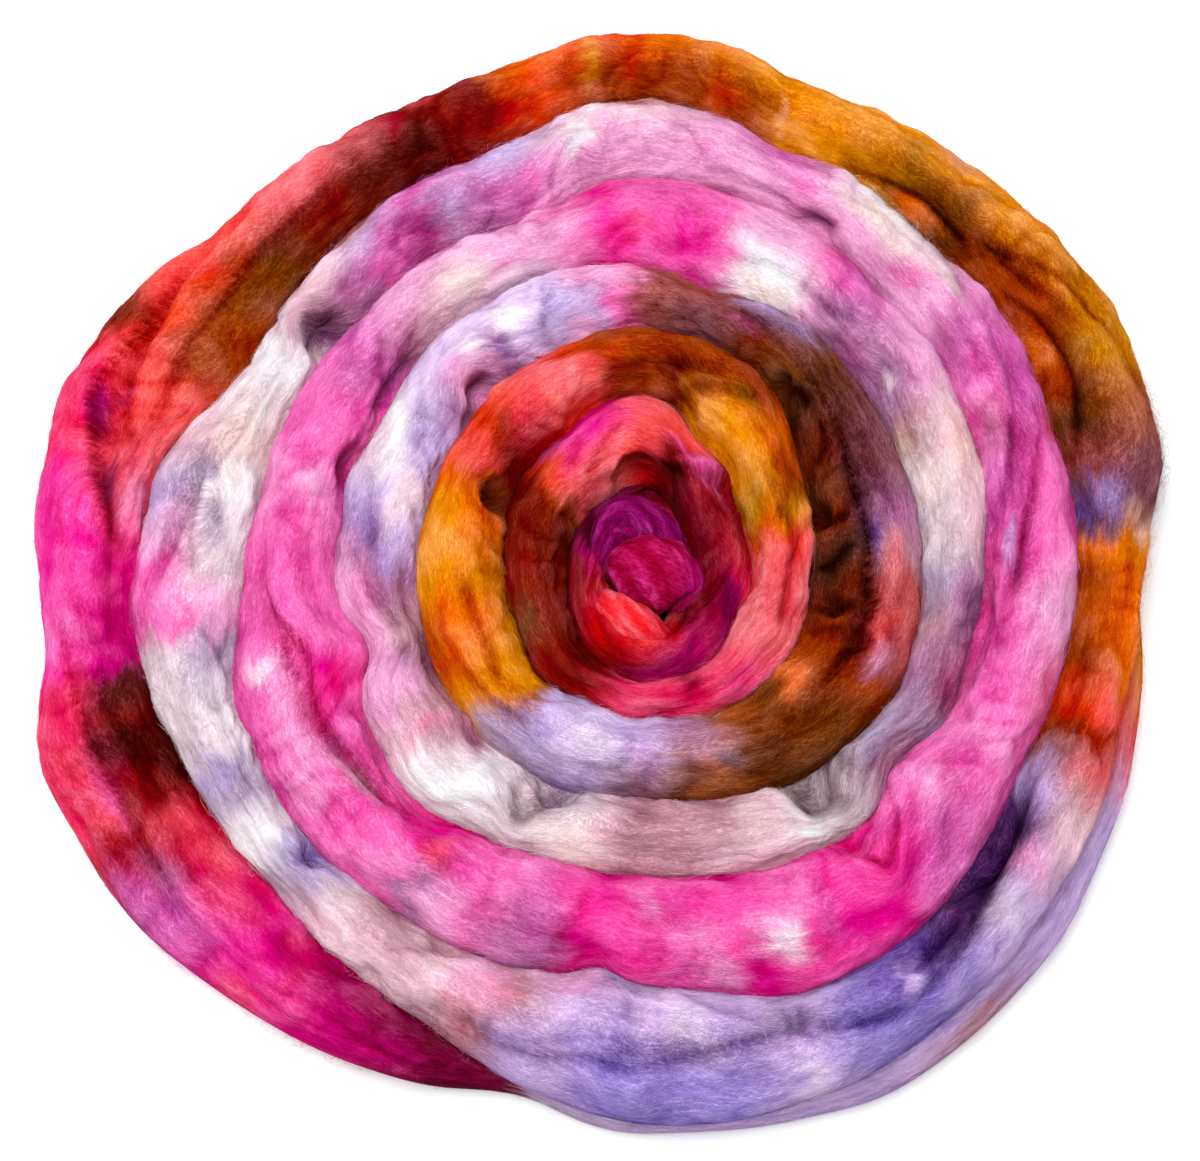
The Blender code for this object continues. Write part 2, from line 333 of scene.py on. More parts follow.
def soft_noise(along_it, across_it, seed):
    """Gradient noise, about -1 to 1: every corner of a unit lattice holds a slope in a random direction, and
    the four slopes round a point are mixed by smooth steps of its distance to each corner."""
    turn = np.random.default_rng(seed).uniform(0, 2 * np.pi, (LATTICE, LATTICE))
    along_it, across_it = np.broadcast_arrays(along_it, across_it)
    cell_a = np.floor(along_it).astype(int)
    cell_b = np.floor(across_it).astype(int)
    off_a = along_it - cell_a
    off_b = across_it - cell_b
    total = np.zeros(along_it.shape)
    for corner_a in (0, 1):
        for corner_b in (0, 1):
            angle = turn[(cell_a + corner_a) % LATTICE, (cell_b + corner_b) % LATTICE]
            slope = np.cos(angle) * (off_a - corner_a) + np.sin(angle) * (off_b - corner_b)
            total += slope * fade(1 - np.abs(off_a - corner_a)) * fade(1 - np.abs(off_b - corner_b))
    return NOISE_GAIN * total


def waves(run, side, rows):
    """The sum of several waves of noise over places in mm along and across the strand."""
    return sum(much * soft_noise(run / long, side / wide, seed) for much, long, wide, seed in rows)


def creases(run, side, long, wide, seed, power):
    """0 on the lines where a noise crosses zero, and its size to a power, up to about 1, between them."""
    return np.abs(soft_noise(run / long, side / wide, seed)) ** power


# Folds and creases that the eye follows, turn by turn. Each has how many mm the wool is raised to the left
# and to the right of it as it runs on towards the outer end, over how many mm that dies away, how much
# painted shade its line gets, and its way over the strand.
FOLDS = {
    # turn: left, right, reach, painted shade, then the hours and places across that the fold runs through
    1: (
        (-2.5, -2.5, 3, 0.8, (10.7, 1.0), (10.3, 0.55), (10.05, 0.15)),
        (-1.0, 1.8, 4, 0.5, (9.0, 0.1), (8.3, 0.26), (7.5, 0.3), (6.9, 0.42)),
        (1.0, -1.5, 3, 0.7, (5.6, 0.0), (5.45, 0.24), (5.1, 0.28), (4.7, 0.18), (4.2, 0.02)),
        (0.8, -0.8, 3, 0.4, (4.8, 0.85), (4.3, 0.55), (3.8, 0.25)),
        (1.2, -0.8, 3, 0.4, (4.2, 0.95), (3.7, 0.6), (3.0, 0.45)),
        (-0.8, -0.6, 2, 0.4, (2.6, 0.7), (1.9, 0.68), (1.3, 0.55)),
        (3.5, -3.5, 5, 0.9, (1.8, 1.0), (1.2, 0.78), (12.7, 0.45), (12.35, 0.2), (12.1, 0.12)),
        (-1.5, -1.5, 2, 0.8, (12.75, 0.72), (12.5, 0.5), (12.3, 0.28)),
    ),
    2: (
        (2.0, -4.0, 4, 0.9, (11.99, 0.14), (11.6, 0.17), (11.3, 0.04)),
        (-0.9, -0.9, 2, 0.8, (11.7, 0.6), (11.3, 0.4), (10.8, 0.18)),
        (-0.9, -0.9, 2, 0.7, (11.1, 0.8), (10.95, 0.62), (10.7, 0.46)),
        (-1.2, -1.2, 3, 0.5, (10.6, 1.0), (10.2, 0.85), (9.9, 0.9)),
        (-0.6, -0.6, 3, 0.3, (9.8, 0.5), (9.2, 0.42), (8.5, 0.3)),
        (-1.1, -1.1, 2, 1.0, (4.0, 0.7), (3.5, 0.58), (2.8, 0.54)),
        (-0.7, -0.9, 2, 0.8, (3.2, 0.66), (2.7, 0.7), (2.3, 0.62)),
        (-0.7, -0.5, 2, 0.4, (2.6, 0.5), (2.0, 0.44), (1.5, 0.36)),
        (-0.7, -0.7, 3, 0.4, (1.9, 0.62), (1.5, 0.58), (1.1, 0.42)),
        (3.0, -2.5, 5, 0.9, (1.2, 0.84), (12.9, 0.64), (12.62, 0.42), (12.3, 0.04)),
        (-0.9, -0.9, 3, 0.5, (12.8, 0.95), (12.5, 0.6), (12.2, 0.35), (12.01, 0.25)),
    ),
    3: (
        (-0.8, -0.8, 2, 0.6, (12.0, 0.3), (11.8, 0.16), (11.5, 0.08)),
        (-0.5, -0.7, 3, 0.3, (11.5, 0.75), (11.0, 0.85), (10.4, 0.82)),
        (1.8, -1.2, 3, 0.6, (10.3, 0.1), (10.0, 0.18), (9.82, 0.34), (9.66, 0.26), (9.6, 0.1)),
        (-1.3, -1.3, 2, 1.1, (8.95, 0.54), (8.6, 0.42), (8.2, 0.38), (7.8, 0.42), (7.4, 0.54)),
        (-0.9, -0.9, 2, 0.8, (8.7, 0.76), (8.2, 0.76), (7.5, 0.68), (7.1, 0.62)),
        (-0.6, -0.6, 2, 0.4, (9.4, 0.2), (8.8, 0.14), (8.2, 0.2)),
        (1.2, -1.2, 4, 0.4, (7.3, 0.35), (7.05, 0.28), (6.8, 0.1)),
        (0.6, -1.2, 4, 0.5, (6.35, 0.85), (6.2, 0.5), (6.25, 0.2)),
        (-0.6, -0.8, 3, 0.4, (5.9, 0.75), (5.6, 0.7), (5.0, 0.66), (4.5, 0.72)),
        (-0.6, -0.6, 3, 0.3, (5.1, 0.9), (4.8, 0.6), (4.6, 0.3)),
        (2.0, -1.3, 5, 1.5, (4.6, 0.12), (4.4, 0.36), (4.15, 0.47), (3.95, 0.44), (3.76, 0.6), (3.6, 0.52),
         (3.4, 0.58), (3.0, 0.46), (2.7, 0.51), (2.4, 0.46), (2.1, 0.44), (1.8, 0.48), (1.5, 0.44),
         (1.1, 0.4)),
        (-1.2, 0.8, 3, 0.5, (3.9, 0.05), (3.75, 0.2), (3.7, 0.42)),
        (-2.6, 1.4, 3, 1.2, (3.5, 0.02), (3.52, 0.2), (3.42, 0.42)),
        (-1.4, 1.0, 3, 0.9, (3.1, 0.05), (3.0, 0.2), (2.8, 0.34)),
        (-2.6, 1.2, 3, 1.2, (2.45, 0.02), (2.55, 0.18), (2.5, 0.36)),
        (-1.4, 1.0, 3, 0.9, (1.95, 0.1), (1.85, 0.24), (1.6, 0.32)),
        (-2.2, 1.2, 3, 1.2, (1.2, 0.05), (1.3, 0.2), (1.5, 0.3)),
        (-0.8, -0.8, 3, 0.4, (3.7, 0.8), (3.5, 0.72), (3.2, 0.78)),
        (-0.9, -0.9, 3, 0.5, (2.8, 0.62), (2.5, 0.72), (2.1, 0.66), (1.8, 0.72)),
        (1.2, -1.2, 3, 0.6, (1.25, 0.95), (1.05, 0.72), (12.8, 0.6), (12.55, 0.56)),
    ),
    4: (
        (1.0, -0.8, 4, 0.4, (11.45, 0.8), (11.3, 0.45), (11.2, 0.1)),
        (-1.2, -1.2, 3, 0.5, (11.05, 0.2), (10.92, 0.35), (10.95, 0.6)),
        (2.0, -1.0, 3, 0.6, (10.8, 0.05), (10.62, 0.24), (10.45, 0.12), (10.2, 0.05)),
        (-1.0, -0.6, 3, 0.4, (10.4, 0.8), (10.2, 0.5), (9.9, 0.22)),
        (-0.8, -0.8, 3, 0.4, (9.7, 0.8), (9.4, 0.62), (9.0, 0.5)),
        (-1.2, -1.4, 3, 0.7, (9.2, 0.85), (8.85, 0.62), (8.6, 0.46), (8.45, 0.36)),
        (-0.8, -0.8, 2, 0.5, (9.1, 0.62), (8.8, 0.5), (8.6, 0.42)),
        (-1.0, 1.0, 2, 0.5, (8.4, 0.24), (8.3, 0.34), (8.38, 0.46), (8.5, 0.4)),
        (1.0, -1.0, 3, 0.4, (8.9, 0.2), (8.2, 0.12), (7.6, 0.14)),
        (-0.9, -0.6, 2, 0.5, (7.35, 0.82), (7.15, 0.72), (6.95, 0.76)),
        (-0.6, -0.6, 3, 0.2, (7.5, 0.5), (7.3, 0.4), (7.2, 0.2)),
        (2.2, -2.0, 3, 1.1, (7.15, 0.1), (7.0, 0.38), (6.92, 0.66), (6.84, 0.66), (6.78, 0.42),
         (6.6, 0.14), (6.45, 0.0)),
        (1.0, -1.0, 2, 0.9, (7.06, 0.06), (6.88, 0.22), (6.82, 0.44)),
        (-1.0, -1.0, 2, 0.6, (7.28, 0.08), (7.12, 0.34), (7.02, 0.6), (6.9, 0.78)),
        (1.8, -1.5, 3, 0.8, (5.04, 0.0), (5.0, 0.3), (4.96, 0.6), (4.88, 0.7), (4.78, 0.62), (4.68, 0.36),
         (4.5, 0.1)),
        (-0.9, -0.9, 2, 0.9, (4.84, 0.8), (4.74, 0.7), (4.62, 0.38), (4.42, 0.16)),
        (-0.8, -0.8, 2, 0.5, (4.92, 0.88), (4.7, 0.86), (4.55, 0.6), (4.3, 0.4)),
        (0.8, -1.2, 3, 0.5, (4.3, 0.85), (4.0, 0.88), (3.7, 0.8)),
        (-0.7, -0.7, 3, 0.3, (4.2, 0.42), (3.95, 0.32), (3.75, 0.4), (3.5, 0.24)),
        (-0.5, -0.5, 4, 0.2, (3.3, 0.7), (2.8, 0.62), (2.4, 0.7)),
        (-1.0, -0.8, 2, 0.4, (2.3, 0.36), (2.1, 0.26), (2.0, 0.1)),
        (-1.0, -1.0, 2, 0.5, (1.85, 0.56), (1.65, 0.48), (1.42, 0.38)),
        (-0.9, -0.7, 2, 0.4, (1.8, 0.14), (1.62, 0.18), (1.6, 0.32), (1.75, 0.34)),
        (0.6, -0.9, 3, 0.5, (1.3, 0.36), (1.1, 0.3), (12.85, 0.36), (12.6, 0.34), (12.42, 0.24)),
        (-0.8, -0.8, 2, 0.4, (12.5, 0.55), (12.3, 0.42), (12.15, 0.22), (12.01, 0.24)),
    ),
    5: (
        (-1.2, -0.8, 2, 0.6, (12.0, 0.46), (11.85, 0.32), (11.72, 0.1)),
        (-0.8, -0.8, 2, 0.5, (11.98, 0.24), (11.86, 0.18), (11.8, 0.05)),
        (-0.7, -0.7, 3, 0.2, (11.3, 0.3), (11.1, 0.2), (10.9, 0.06)),
        (-1.2, -1.2, 3, 0.6, (10.68, 0.36), (10.5, 0.16), (10.4, 0.04)),
        (-1.2, -1.0, 3, 0.6, (10.45, 0.5), (10.3, 0.3), (10.2, 0.08)),
        (1.5, -1.5, 3, 0.6, (9.9, 0.1), (9.7, 0.16), (9.5, 0.06)),
        (-2.3, 2.3, 5, 1.4, (9.1, 0.84), (8.85, 0.68), (8.62, 0.48), (8.35, 0.4), (8.1, 0.33),
         (7.85, 0.24), (7.6, 0.16), (7.2, 0.16)),
        (1.6, -1.6, 2, 1.1, (8.72, 0.5), (8.5, 0.58), (8.36, 0.46)),
        (1.4, -1.4, 3, 1.1, (7.9, 0.3), (7.7, 0.24), (7.4, 0.12)),
        (-0.8, -0.8, 3, 0.4, (7.35, 0.2), (7.18, 0.4), (7.05, 0.5)),
        (-0.8, 0.4, 4, 0.3, (6.95, 0.9), (6.85, 0.6), (6.88, 0.3)),
        (-1.2, -0.6, 4, 0.4, (6.5, 0.9), (6.4, 0.5), (6.35, 0.15)),
        (-0.7, -0.7, 3, 0.3, (6.1, 0.5), (5.85, 0.42), (5.7, 0.2)),
        (-0.8, -0.4, 4, 0.3, (5.3, 0.9), (5.15, 0.5), (5.2, 0.15)),
        (2.0, -2.2, 3, 1.2, (4.95, 0.08), (4.86, 0.3), (4.79, 0.42), (4.66, 0.3), (4.5, 0.1)),
        (-0.8, -0.8, 2, 0.4, (4.8, 0.62), (4.62, 0.44), (4.42, 0.2)),
        (-0.7, -0.7, 3, 0.3, (4.75, 0.9), (4.5, 0.7), (4.25, 0.4), (4.1, 0.2)),
        (-1.8, 1.4, 3, 1.1, (3.15, 0.22), (2.8, 0.36), (2.5, 0.56), (2.15, 0.8)),
        (-1.6, 1.0, 3, 1.0, (2.7, 0.1), (2.45, 0.26), (2.15, 0.46)),
        (-0.8, 0.5, 2, 0.6, (3.2, 0.1), (2.9, 0.06), (2.5, 0.1)),
        (-0.8, -0.8, 3, 0.4, (2.0, 0.2), (1.8, 0.35), (1.5, 0.5)),
        (-0.7, 0.8, 3, 0.3, (1.5, 0.58), (1.2, 0.62), (12.9, 0.5), (12.75, 0.42)),
        (1.2, -1.5, 3, 0.5, (12.95, 0.2), (12.8, 0.12), (12.6, 0.14)),
        (-1.2, 0.8, 2, 0.4, (12.3, 0.08), (12.22, 0.36), (12.14, 0.54), (12.05, 0.3)),
    ),
    6: (
        (1.2, -1.0, 4, 0.5, (11.75, 0.65), (11.6, 0.35), (11.55, 0.05)),
        (-0.7, -0.7, 3, 0.3, (11.3, 0.55), (11.15, 0.3), (11.2, 0.05)),
        (-0.9, -0.5, 3, 0.3, (10.95, 0.6), (10.8, 0.3), (10.82, 0.05)),
        (2.4, -2.0, 4, 0.4, (10.42, 0.08), (10.34, 0.34), (10.28, 0.5), (10.2, 0.36), (10.12, 0.05)),
        (-0.8, 0.6, 3, 0.3, (10.25, 0.95), (10.12, 0.6), (10.05, 0.3)),
        (-1.2, 0.8, 4, 0.4, (10.1, 0.56), (9.9, 0.36), (9.6, 0.26), (9.3, 0.18)),
        (-1.6, 0.8, 3, 0.8, (9.75, 0.72), (9.55, 0.6), (9.3, 0.5), (9.1, 0.44), (8.9, 0.3)),
        (-1.0, -0.6, 3, 0.7, (9.9, 0.44), (9.65, 0.36), (9.5, 0.4), (9.3, 0.3), (9.05, 0.08)),
        (-1.0, -1.0, 2, 0.6, (10.0, 0.2), (9.75, 0.22), (9.45, 0.14)),
        (1.0, -1.0, 2, 0.5, (9.16, 0.78), (9.08, 0.58), (9.02, 0.44)),
        (1.0, -1.4, 3, 0.5, (8.75, 0.32), (8.6, 0.14), (8.45, 0.04)),
        (-0.7, -0.5, 4, 0.2, (8.3, 0.6), (8.1, 0.4), (8.05, 0.1)),
        (-1.6, 0.8, 3, 0.5, (7.72, 0.45), (7.62, 0.22), (7.6, 0.02)),
        (1.2, -1.2, 3, 0.4, (7.15, 0.55), (6.98, 0.28), (6.84, 0.08)),
        (-1.4, 1.4, 3, 0.9, (7.05, 0.95), (6.6, 0.82), (6.2, 0.66), (5.85, 0.5), (5.6, 0.38), (5.42, 0.3)),
        (-1.0, -1.0, 2, 0.6, (6.9, 0.78), (6.5, 0.66), (6.1, 0.5), (5.8, 0.38)),
        (-1.8, -1.8, 3, 1.0, (5.44, 0.46), (5.42, 0.3), (5.41, 0.1)),
        (-1.2, 0.8, 2, 0.7, (5.5, 0.42), (5.47, 0.28), (5.48, 0.12)),
        (1.4, -1.6, 3, 1.0, (5.38, 0.34), (5.3, 0.46), (5.16, 0.6), (4.98, 0.76)),
        (0.8, -1.2, 3, 0.4, (5.9, 0.05), (5.7, 0.2), (5.5, 0.26)),
        (2.6, -2.4, 4, 1.0, (5.04, 0.92), (4.9, 0.66), (4.7, 0.5), (4.4, 0.3), (4.15, 0.22), (3.9, 0.2)),
        (-1.2, -0.8, 3, 0.6, (5.06, 0.5), (4.98, 0.3), (4.95, 0.1)),
        (-1.2, -0.8, 3, 0.6, (4.9, 0.55), (4.86, 0.35), (4.85, 0.1)),
        (-0.8, -0.8, 3, 0.3, (4.66, 0.9), (4.6, 0.7), (4.5, 0.52)),
        (-0.9, 0.6, 3, 0.4, (3.84, 0.9), (3.72, 0.6), (3.75, 0.2)),
        (-0.6, -0.6, 3, 0.4, (3.8, 0.22), (3.55, 0.26), (3.2, 0.22)),
        (-0.6, -0.6, 3, 0.3, (2.88, 0.6), (2.78, 0.3), (2.7, 0.1)),
        (-1.4, 2.4, 4, 1.4, (2.5, 0.08), (2.3, 0.2), (2.1, 0.27), (1.85, 0.22), (1.6, 0.04)),
        (-1.4, 2.4, 4, 1.4, (1.5, 0.1), (1.35, 0.2), (1.15, 0.22), (12.95, 0.12), (12.75, 0.0)),
        (-1.8, -1.2, 3, 1.3, (2.15, 0.78), (1.85, 0.62), (1.6, 0.44), (1.4, 0.22)),
        (-1.2, -1.2, 2, 1.0, (1.95, 0.5), (1.7, 0.38), (1.5, 0.26)),
        (-0.8, -0.8, 2, 0.5, (1.9, 0.75), (1.7, 0.66), (1.5, 0.54)),
        (-0.9, -0.9, 3, 0.5, (2.4, 0.85), (2.1, 0.8), (1.7, 0.82), (1.3, 0.72)),
        (-0.9, -0.5, 4, 0.4, (1.35, 0.75), (1.2, 0.5), (1.25, 0.3)),
        (-0.8, -0.4, 3, 0.4, (12.4, 0.55), (12.3, 0.3), (12.35, 0.05)),
    ),
    7: (
        (-1.2, -0.6, 3, 0.7, (12.0, 0.62), (11.9, 0.36), (11.85, 0.12)),
        (-0.7, -0.7, 3, 0.4, (11.78, 0.75), (11.72, 0.4), (11.76, 0.1)),
        (-0.7, -0.7, 3, 0.4, (11.25, 0.7), (11.15, 0.4), (11.18, 0.1)),
        (1.2, -0.9, 4, 0.9, (10.95, 0.42), (10.6, 0.38), (10.3, 0.39), (9.95, 0.34), (9.75, 0.27),
         (9.58, 0.1)),
        (1.7, -1.8, 4, 1.2, (10.25, 0.92), (10.1, 0.74), (9.7, 0.68), (9.5, 0.54), (9.3, 0.36), (9.05, 0.08)),
        (1.4, -1.4, 3, 1.0, (9.8, 0.6), (9.62, 0.42), (9.5, 0.2)),
        (-1.0, -1.0, 3, 0.7, (9.4, 0.42), (9.2, 0.22), (9.05, 0.02)),
        (-0.7, -0.7, 3, 0.4, (9.3, 0.8), (9.0, 0.55), (8.7, 0.3)),
        (1.0, -2.0, 4, 0.9, (8.95, 0.9), (8.8, 0.7), (8.62, 0.6), (8.3, 0.56), (7.95, 0.6), (7.6, 0.72)),
        (-0.8, -0.8, 3, 0.5, (8.6, 0.4), (8.4, 0.3), (8.1, 0.26)),
        (-1.0, -1.0, 3, 0.5, (8.5, 0.84), (8.2, 0.78), (7.9, 0.84)),
        (-0.7, -0.7, 3, 0.4, (7.95, 0.45), (7.7, 0.4), (7.5, 0.24)),
        (-0.8, -0.4, 4, 0.3, (7.55, 0.7), (7.45, 0.4), (7.5, 0.1)),
        (-0.8, -0.5, 3, 0.4, (7.1, 0.8), (7.0, 0.5), (7.02, 0.2)),
    ),
}
FOLD_STEPS = 48
# The step from one side's height to the other's is this wide to either side.
FOLD_EDGE = 2.0
# All folds are raised by this many times their table's mm.
FOLD_LIFT = 1.35
# A fold is worked out this many times its reach away, and fades out over a quarter of its way at each end.
FOLD_MARGIN = 4
FOLD_ENDS = 4
# Half width in mm of the painted shade along its line, on the side that stands higher and on the lower one.
LINE_ABOVE, LINE_BELOW = 1.5, 2.4

# Where the fibres swing across the strand: place, half length, half width, and how far outwards in mm.
SWINGS = (
    # turn hour across long wide out
    (1, 4.6, 0.5, 14, 9, -4),
    (2, 12.5, 0.5, 10, 12, -7),
    (3, 11.9, 0.4, 14, 10, -5),
    (3, 9.75, 0.30, 9, 9, 6),
    (4, 11.3, 0.5, 12, 12, -5),
    (4, 10.6, 0.30, 10, 12, 8),
    (4, 8.4, 0.35, 9, 8, -5),
    (4, 6.9, 0.45, 8, 11, 11),
    (4, 6.4, 0.2, 9, 8, -4),
    (4, 4.85, 0.60, 9, 14, 12),
    (4, 4.4, 0.2, 9, 9, -4),
    (4, 1.65, 0.25, 6, 6, 4),
    (5, 8.5, 0.5, 14, 10, -6),
    (5, 7.6, 0.3, 12, 9, -5),
    (5, 4.8, 0.40, 8, 10, 7),
    (5, 2.4, 0.5, 24, 16, 6),
    (6, 11.7, 0.4, 9, 14, 7),
    (6, 10.25, 0.45, 9, 16, 12),
    (6, 9.3, 0.3, 14, 12, -7),
    (6, 7.7, 0.25, 8, 10, 4),
    (6, 5.4, 0.45, 8, 9, -5),
    (6, 4.9, 0.4, 9, 10, 6),
    (6, 2.0, 0.2, 16, 10, 5),
    (6, 1.2, 0.2, 14, 10, 5),
    (7, 9.5, 0.45, 22, 14, -8),
    (7, 8.1, 0.6, 18, 12, -6),
)


def folded(at, run, across, width):
    """How far the folds raise the strand, and how much painted shade lies along their lines. A fold's way is
    a smooth line through its points. What it raises is greatest beside the way, dies away from it
    exponentially, and changes from the one side's height to the other's in a narrow smooth step. Its painted
    shade falls off as e to the minus square."""
    side = across * width
    raised = np.zeros(side.shape)
    line_shade = np.zeros(side.shape)
    for turn, left, right, reach, shade, *way in of_turns(FOLDS):
        places = np.array([along(turn, hour) for hour, _ in way])
        shares = [part for _, part in way]
        ends = np.interp(places, at[:, 0], run[:, 0]), np.interp(places, at[:, 0], width[:, 0]) * shares
        line = smooth_path(np.stack(ends, -1), FOLD_STEPS)
        first = np.searchsorted(run[:, 0], line[:, 0].min() - FOLD_MARGIN * reach)
        last = np.searchsorted(run[:, 0], line[:, 0].max() + FOLD_MARGIN * reach)
        rows = slice(first, last)
        off_run = run[rows, :, None] - line[:, 0]
        off_side = side[rows, :, None] - line[:, 1]
        apart = off_run**2 + off_side**2
        nearest = apart.argmin(axis=-1)
        on = np.gradient(line, axis=0)
        on /= np.linalg.norm(on, axis=1, keepdims=True)
        pick = nearest[..., None]
        to_left = (
            on[nearest, 0] * np.take_along_axis(off_side, pick, -1)[..., 0]
            - on[nearest, 1] * np.take_along_axis(off_run, pick, -1)[..., 0]
        )
        away = np.sqrt(np.take_along_axis(apart, pick, -1)[..., 0])
        part = nearest / (FOLD_STEPS - 1)
        strength = fade(FOLD_ENDS * np.minimum(part, 1 - part))
        share = fade(0.5 + 0.5 * to_left / FOLD_EDGE)
        raised[rows] += strength * np.exp(-away / reach) * (right + (left - right) * share)
        line_wide = np.where(to_left * (left - right) > 0, LINE_ABOVE, LINE_BELOW)
        line_shade[rows] = np.maximum(line_shade[rows], strength * shade * np.exp(-((away / line_wide) ** 2)))
    return raised, line_shade


def swung(at, across, width, circle):
    """How far the fibres have swung across the strand, in mm: e to the minus squared distance from each
    swing."""
    swing = np.zeros(np.broadcast(at, across).shape)
    for *place, out in SWINGS:
        swing += out * np.exp(-near(at, across, width, circle, place))
    return swing


def pressed(at, across, width, circle):
    """How deep the groove and the pockets press the strand in. The groove is a pointed valley, a pocket has a
    flat bottom and steep sides: e to the minus power of the squared distance from its middle."""
    off = np.abs(across - read_rows(GROOVES, 2, at)) * width
    depth = GROOVE_SHARE * read_rows(GROOVES, 3, at) * np.clip(1 - off / GROOVE_REACH, 0, 1) ** GROOVE_POWER
    for turn, hour, side, deep, half_long, half_wide in POCKETS:
        away = near(at, across, width, circle, (turn, hour, side, half_long, half_wide))
        depth = np.maximum(depth, deep * np.exp(-(away**POCKET_POWER)))
    return depth


def locks_of(run, side):
    """Fine relief in mm: locks of fibre a few mm wide lie along the strand with thin partings between them,
    where noise drawn out along it crosses zero, and broader lumps lift and sink them. In places the wool is
    gathered into puckers across the strand, with partings of their own. Gives the relief and how much of a
    parting there is."""
    wander = waves(run, side, LOCK_WANDER)
    broad = creases(run, side + wander, *BROAD_LOCKS)
    narrow = creases(run, side + wander, *NARROW_LOCKS)
    puckers = creases(run + 2 * wander, side, *PUCKERS)
    locked = fade(0.5 + waves(run, side, WHERE_LOCKS))
    gathered = fade(0.25 + waves(run, side, WHERE_PUCKERS))
    relief = LOCK_HIGH * locked * (broad - 0.5) + THREAD_HIGH * (narrow - 0.4) + waves(run, side, LUMPS)
    relief += PUCKER_HIGH * gathered * (puckers - 0.45)
    parting = locked * np.exp(-((broad / LOCK_PARTING) ** 2))
    parting += gathered * np.exp(-((puckers / PUCKER_PARTING) ** 2))
    return relief, parting


# -----------------------------------------------------------------------------------------------------------
# The strand's surface.

SECTION_STEP = 1.6
FINE_PLACES = 20001
CROWN_COLUMNS = 64
BASE_COLUMNS = 9
# The strand's sections reach this far into each other at a seam, and at most this share of their width.
SEAM_OVERLAP = 0.7
SEAM_SHARE = 0.06
BASE_SQUARE = 0.35
BASE_SWELL = 1.6
BASE_POWER = 0.8
# Widths in mm of the strand's top over its curve and of its base, for the lie of the fibres.
ACROSS_MM = 58.0
UNDER_MM = 40
# The strand is never taken as narrower than this, nor a turn as nearer to the eye.
LEAST_WIDTH = 1.0
LEAST_REACH = 20
# Heights in mm of locks, threads and puckers, and the share of their noise that a parting takes up.
LOCK_HIGH, THREAD_HIGH, PUCKER_HIGH = 0.9, 0.35, 2.2
LOCK_PARTING, PUCKER_PARTING = 0.3, 0.25
# Painted shade along the partings between locks and between puckers.
PARTING_SHADE = 0.3


def even_places():
    """Places along the wool an even step apart, and how far along it they lie in mm: the length of its middle
    line is summed in fine steps and read backwards."""
    fine = np.linspace(0, along(LAST_TURN, LAST_HOUR), FINE_PLACES)
    middle = 0.5 * (outer_edge(fine - 1) + outer_edge(fine))
    steps = 2 * np.pi * 0.5 * (middle[1:] + middle[:-1]) * np.diff(fine)
    run = np.concatenate([[0], np.cumsum(steps)])
    even = np.linspace(0, run[-1], int(run[-1] / SECTION_STEP) + 1)
    return np.interp(even, run, fine), even


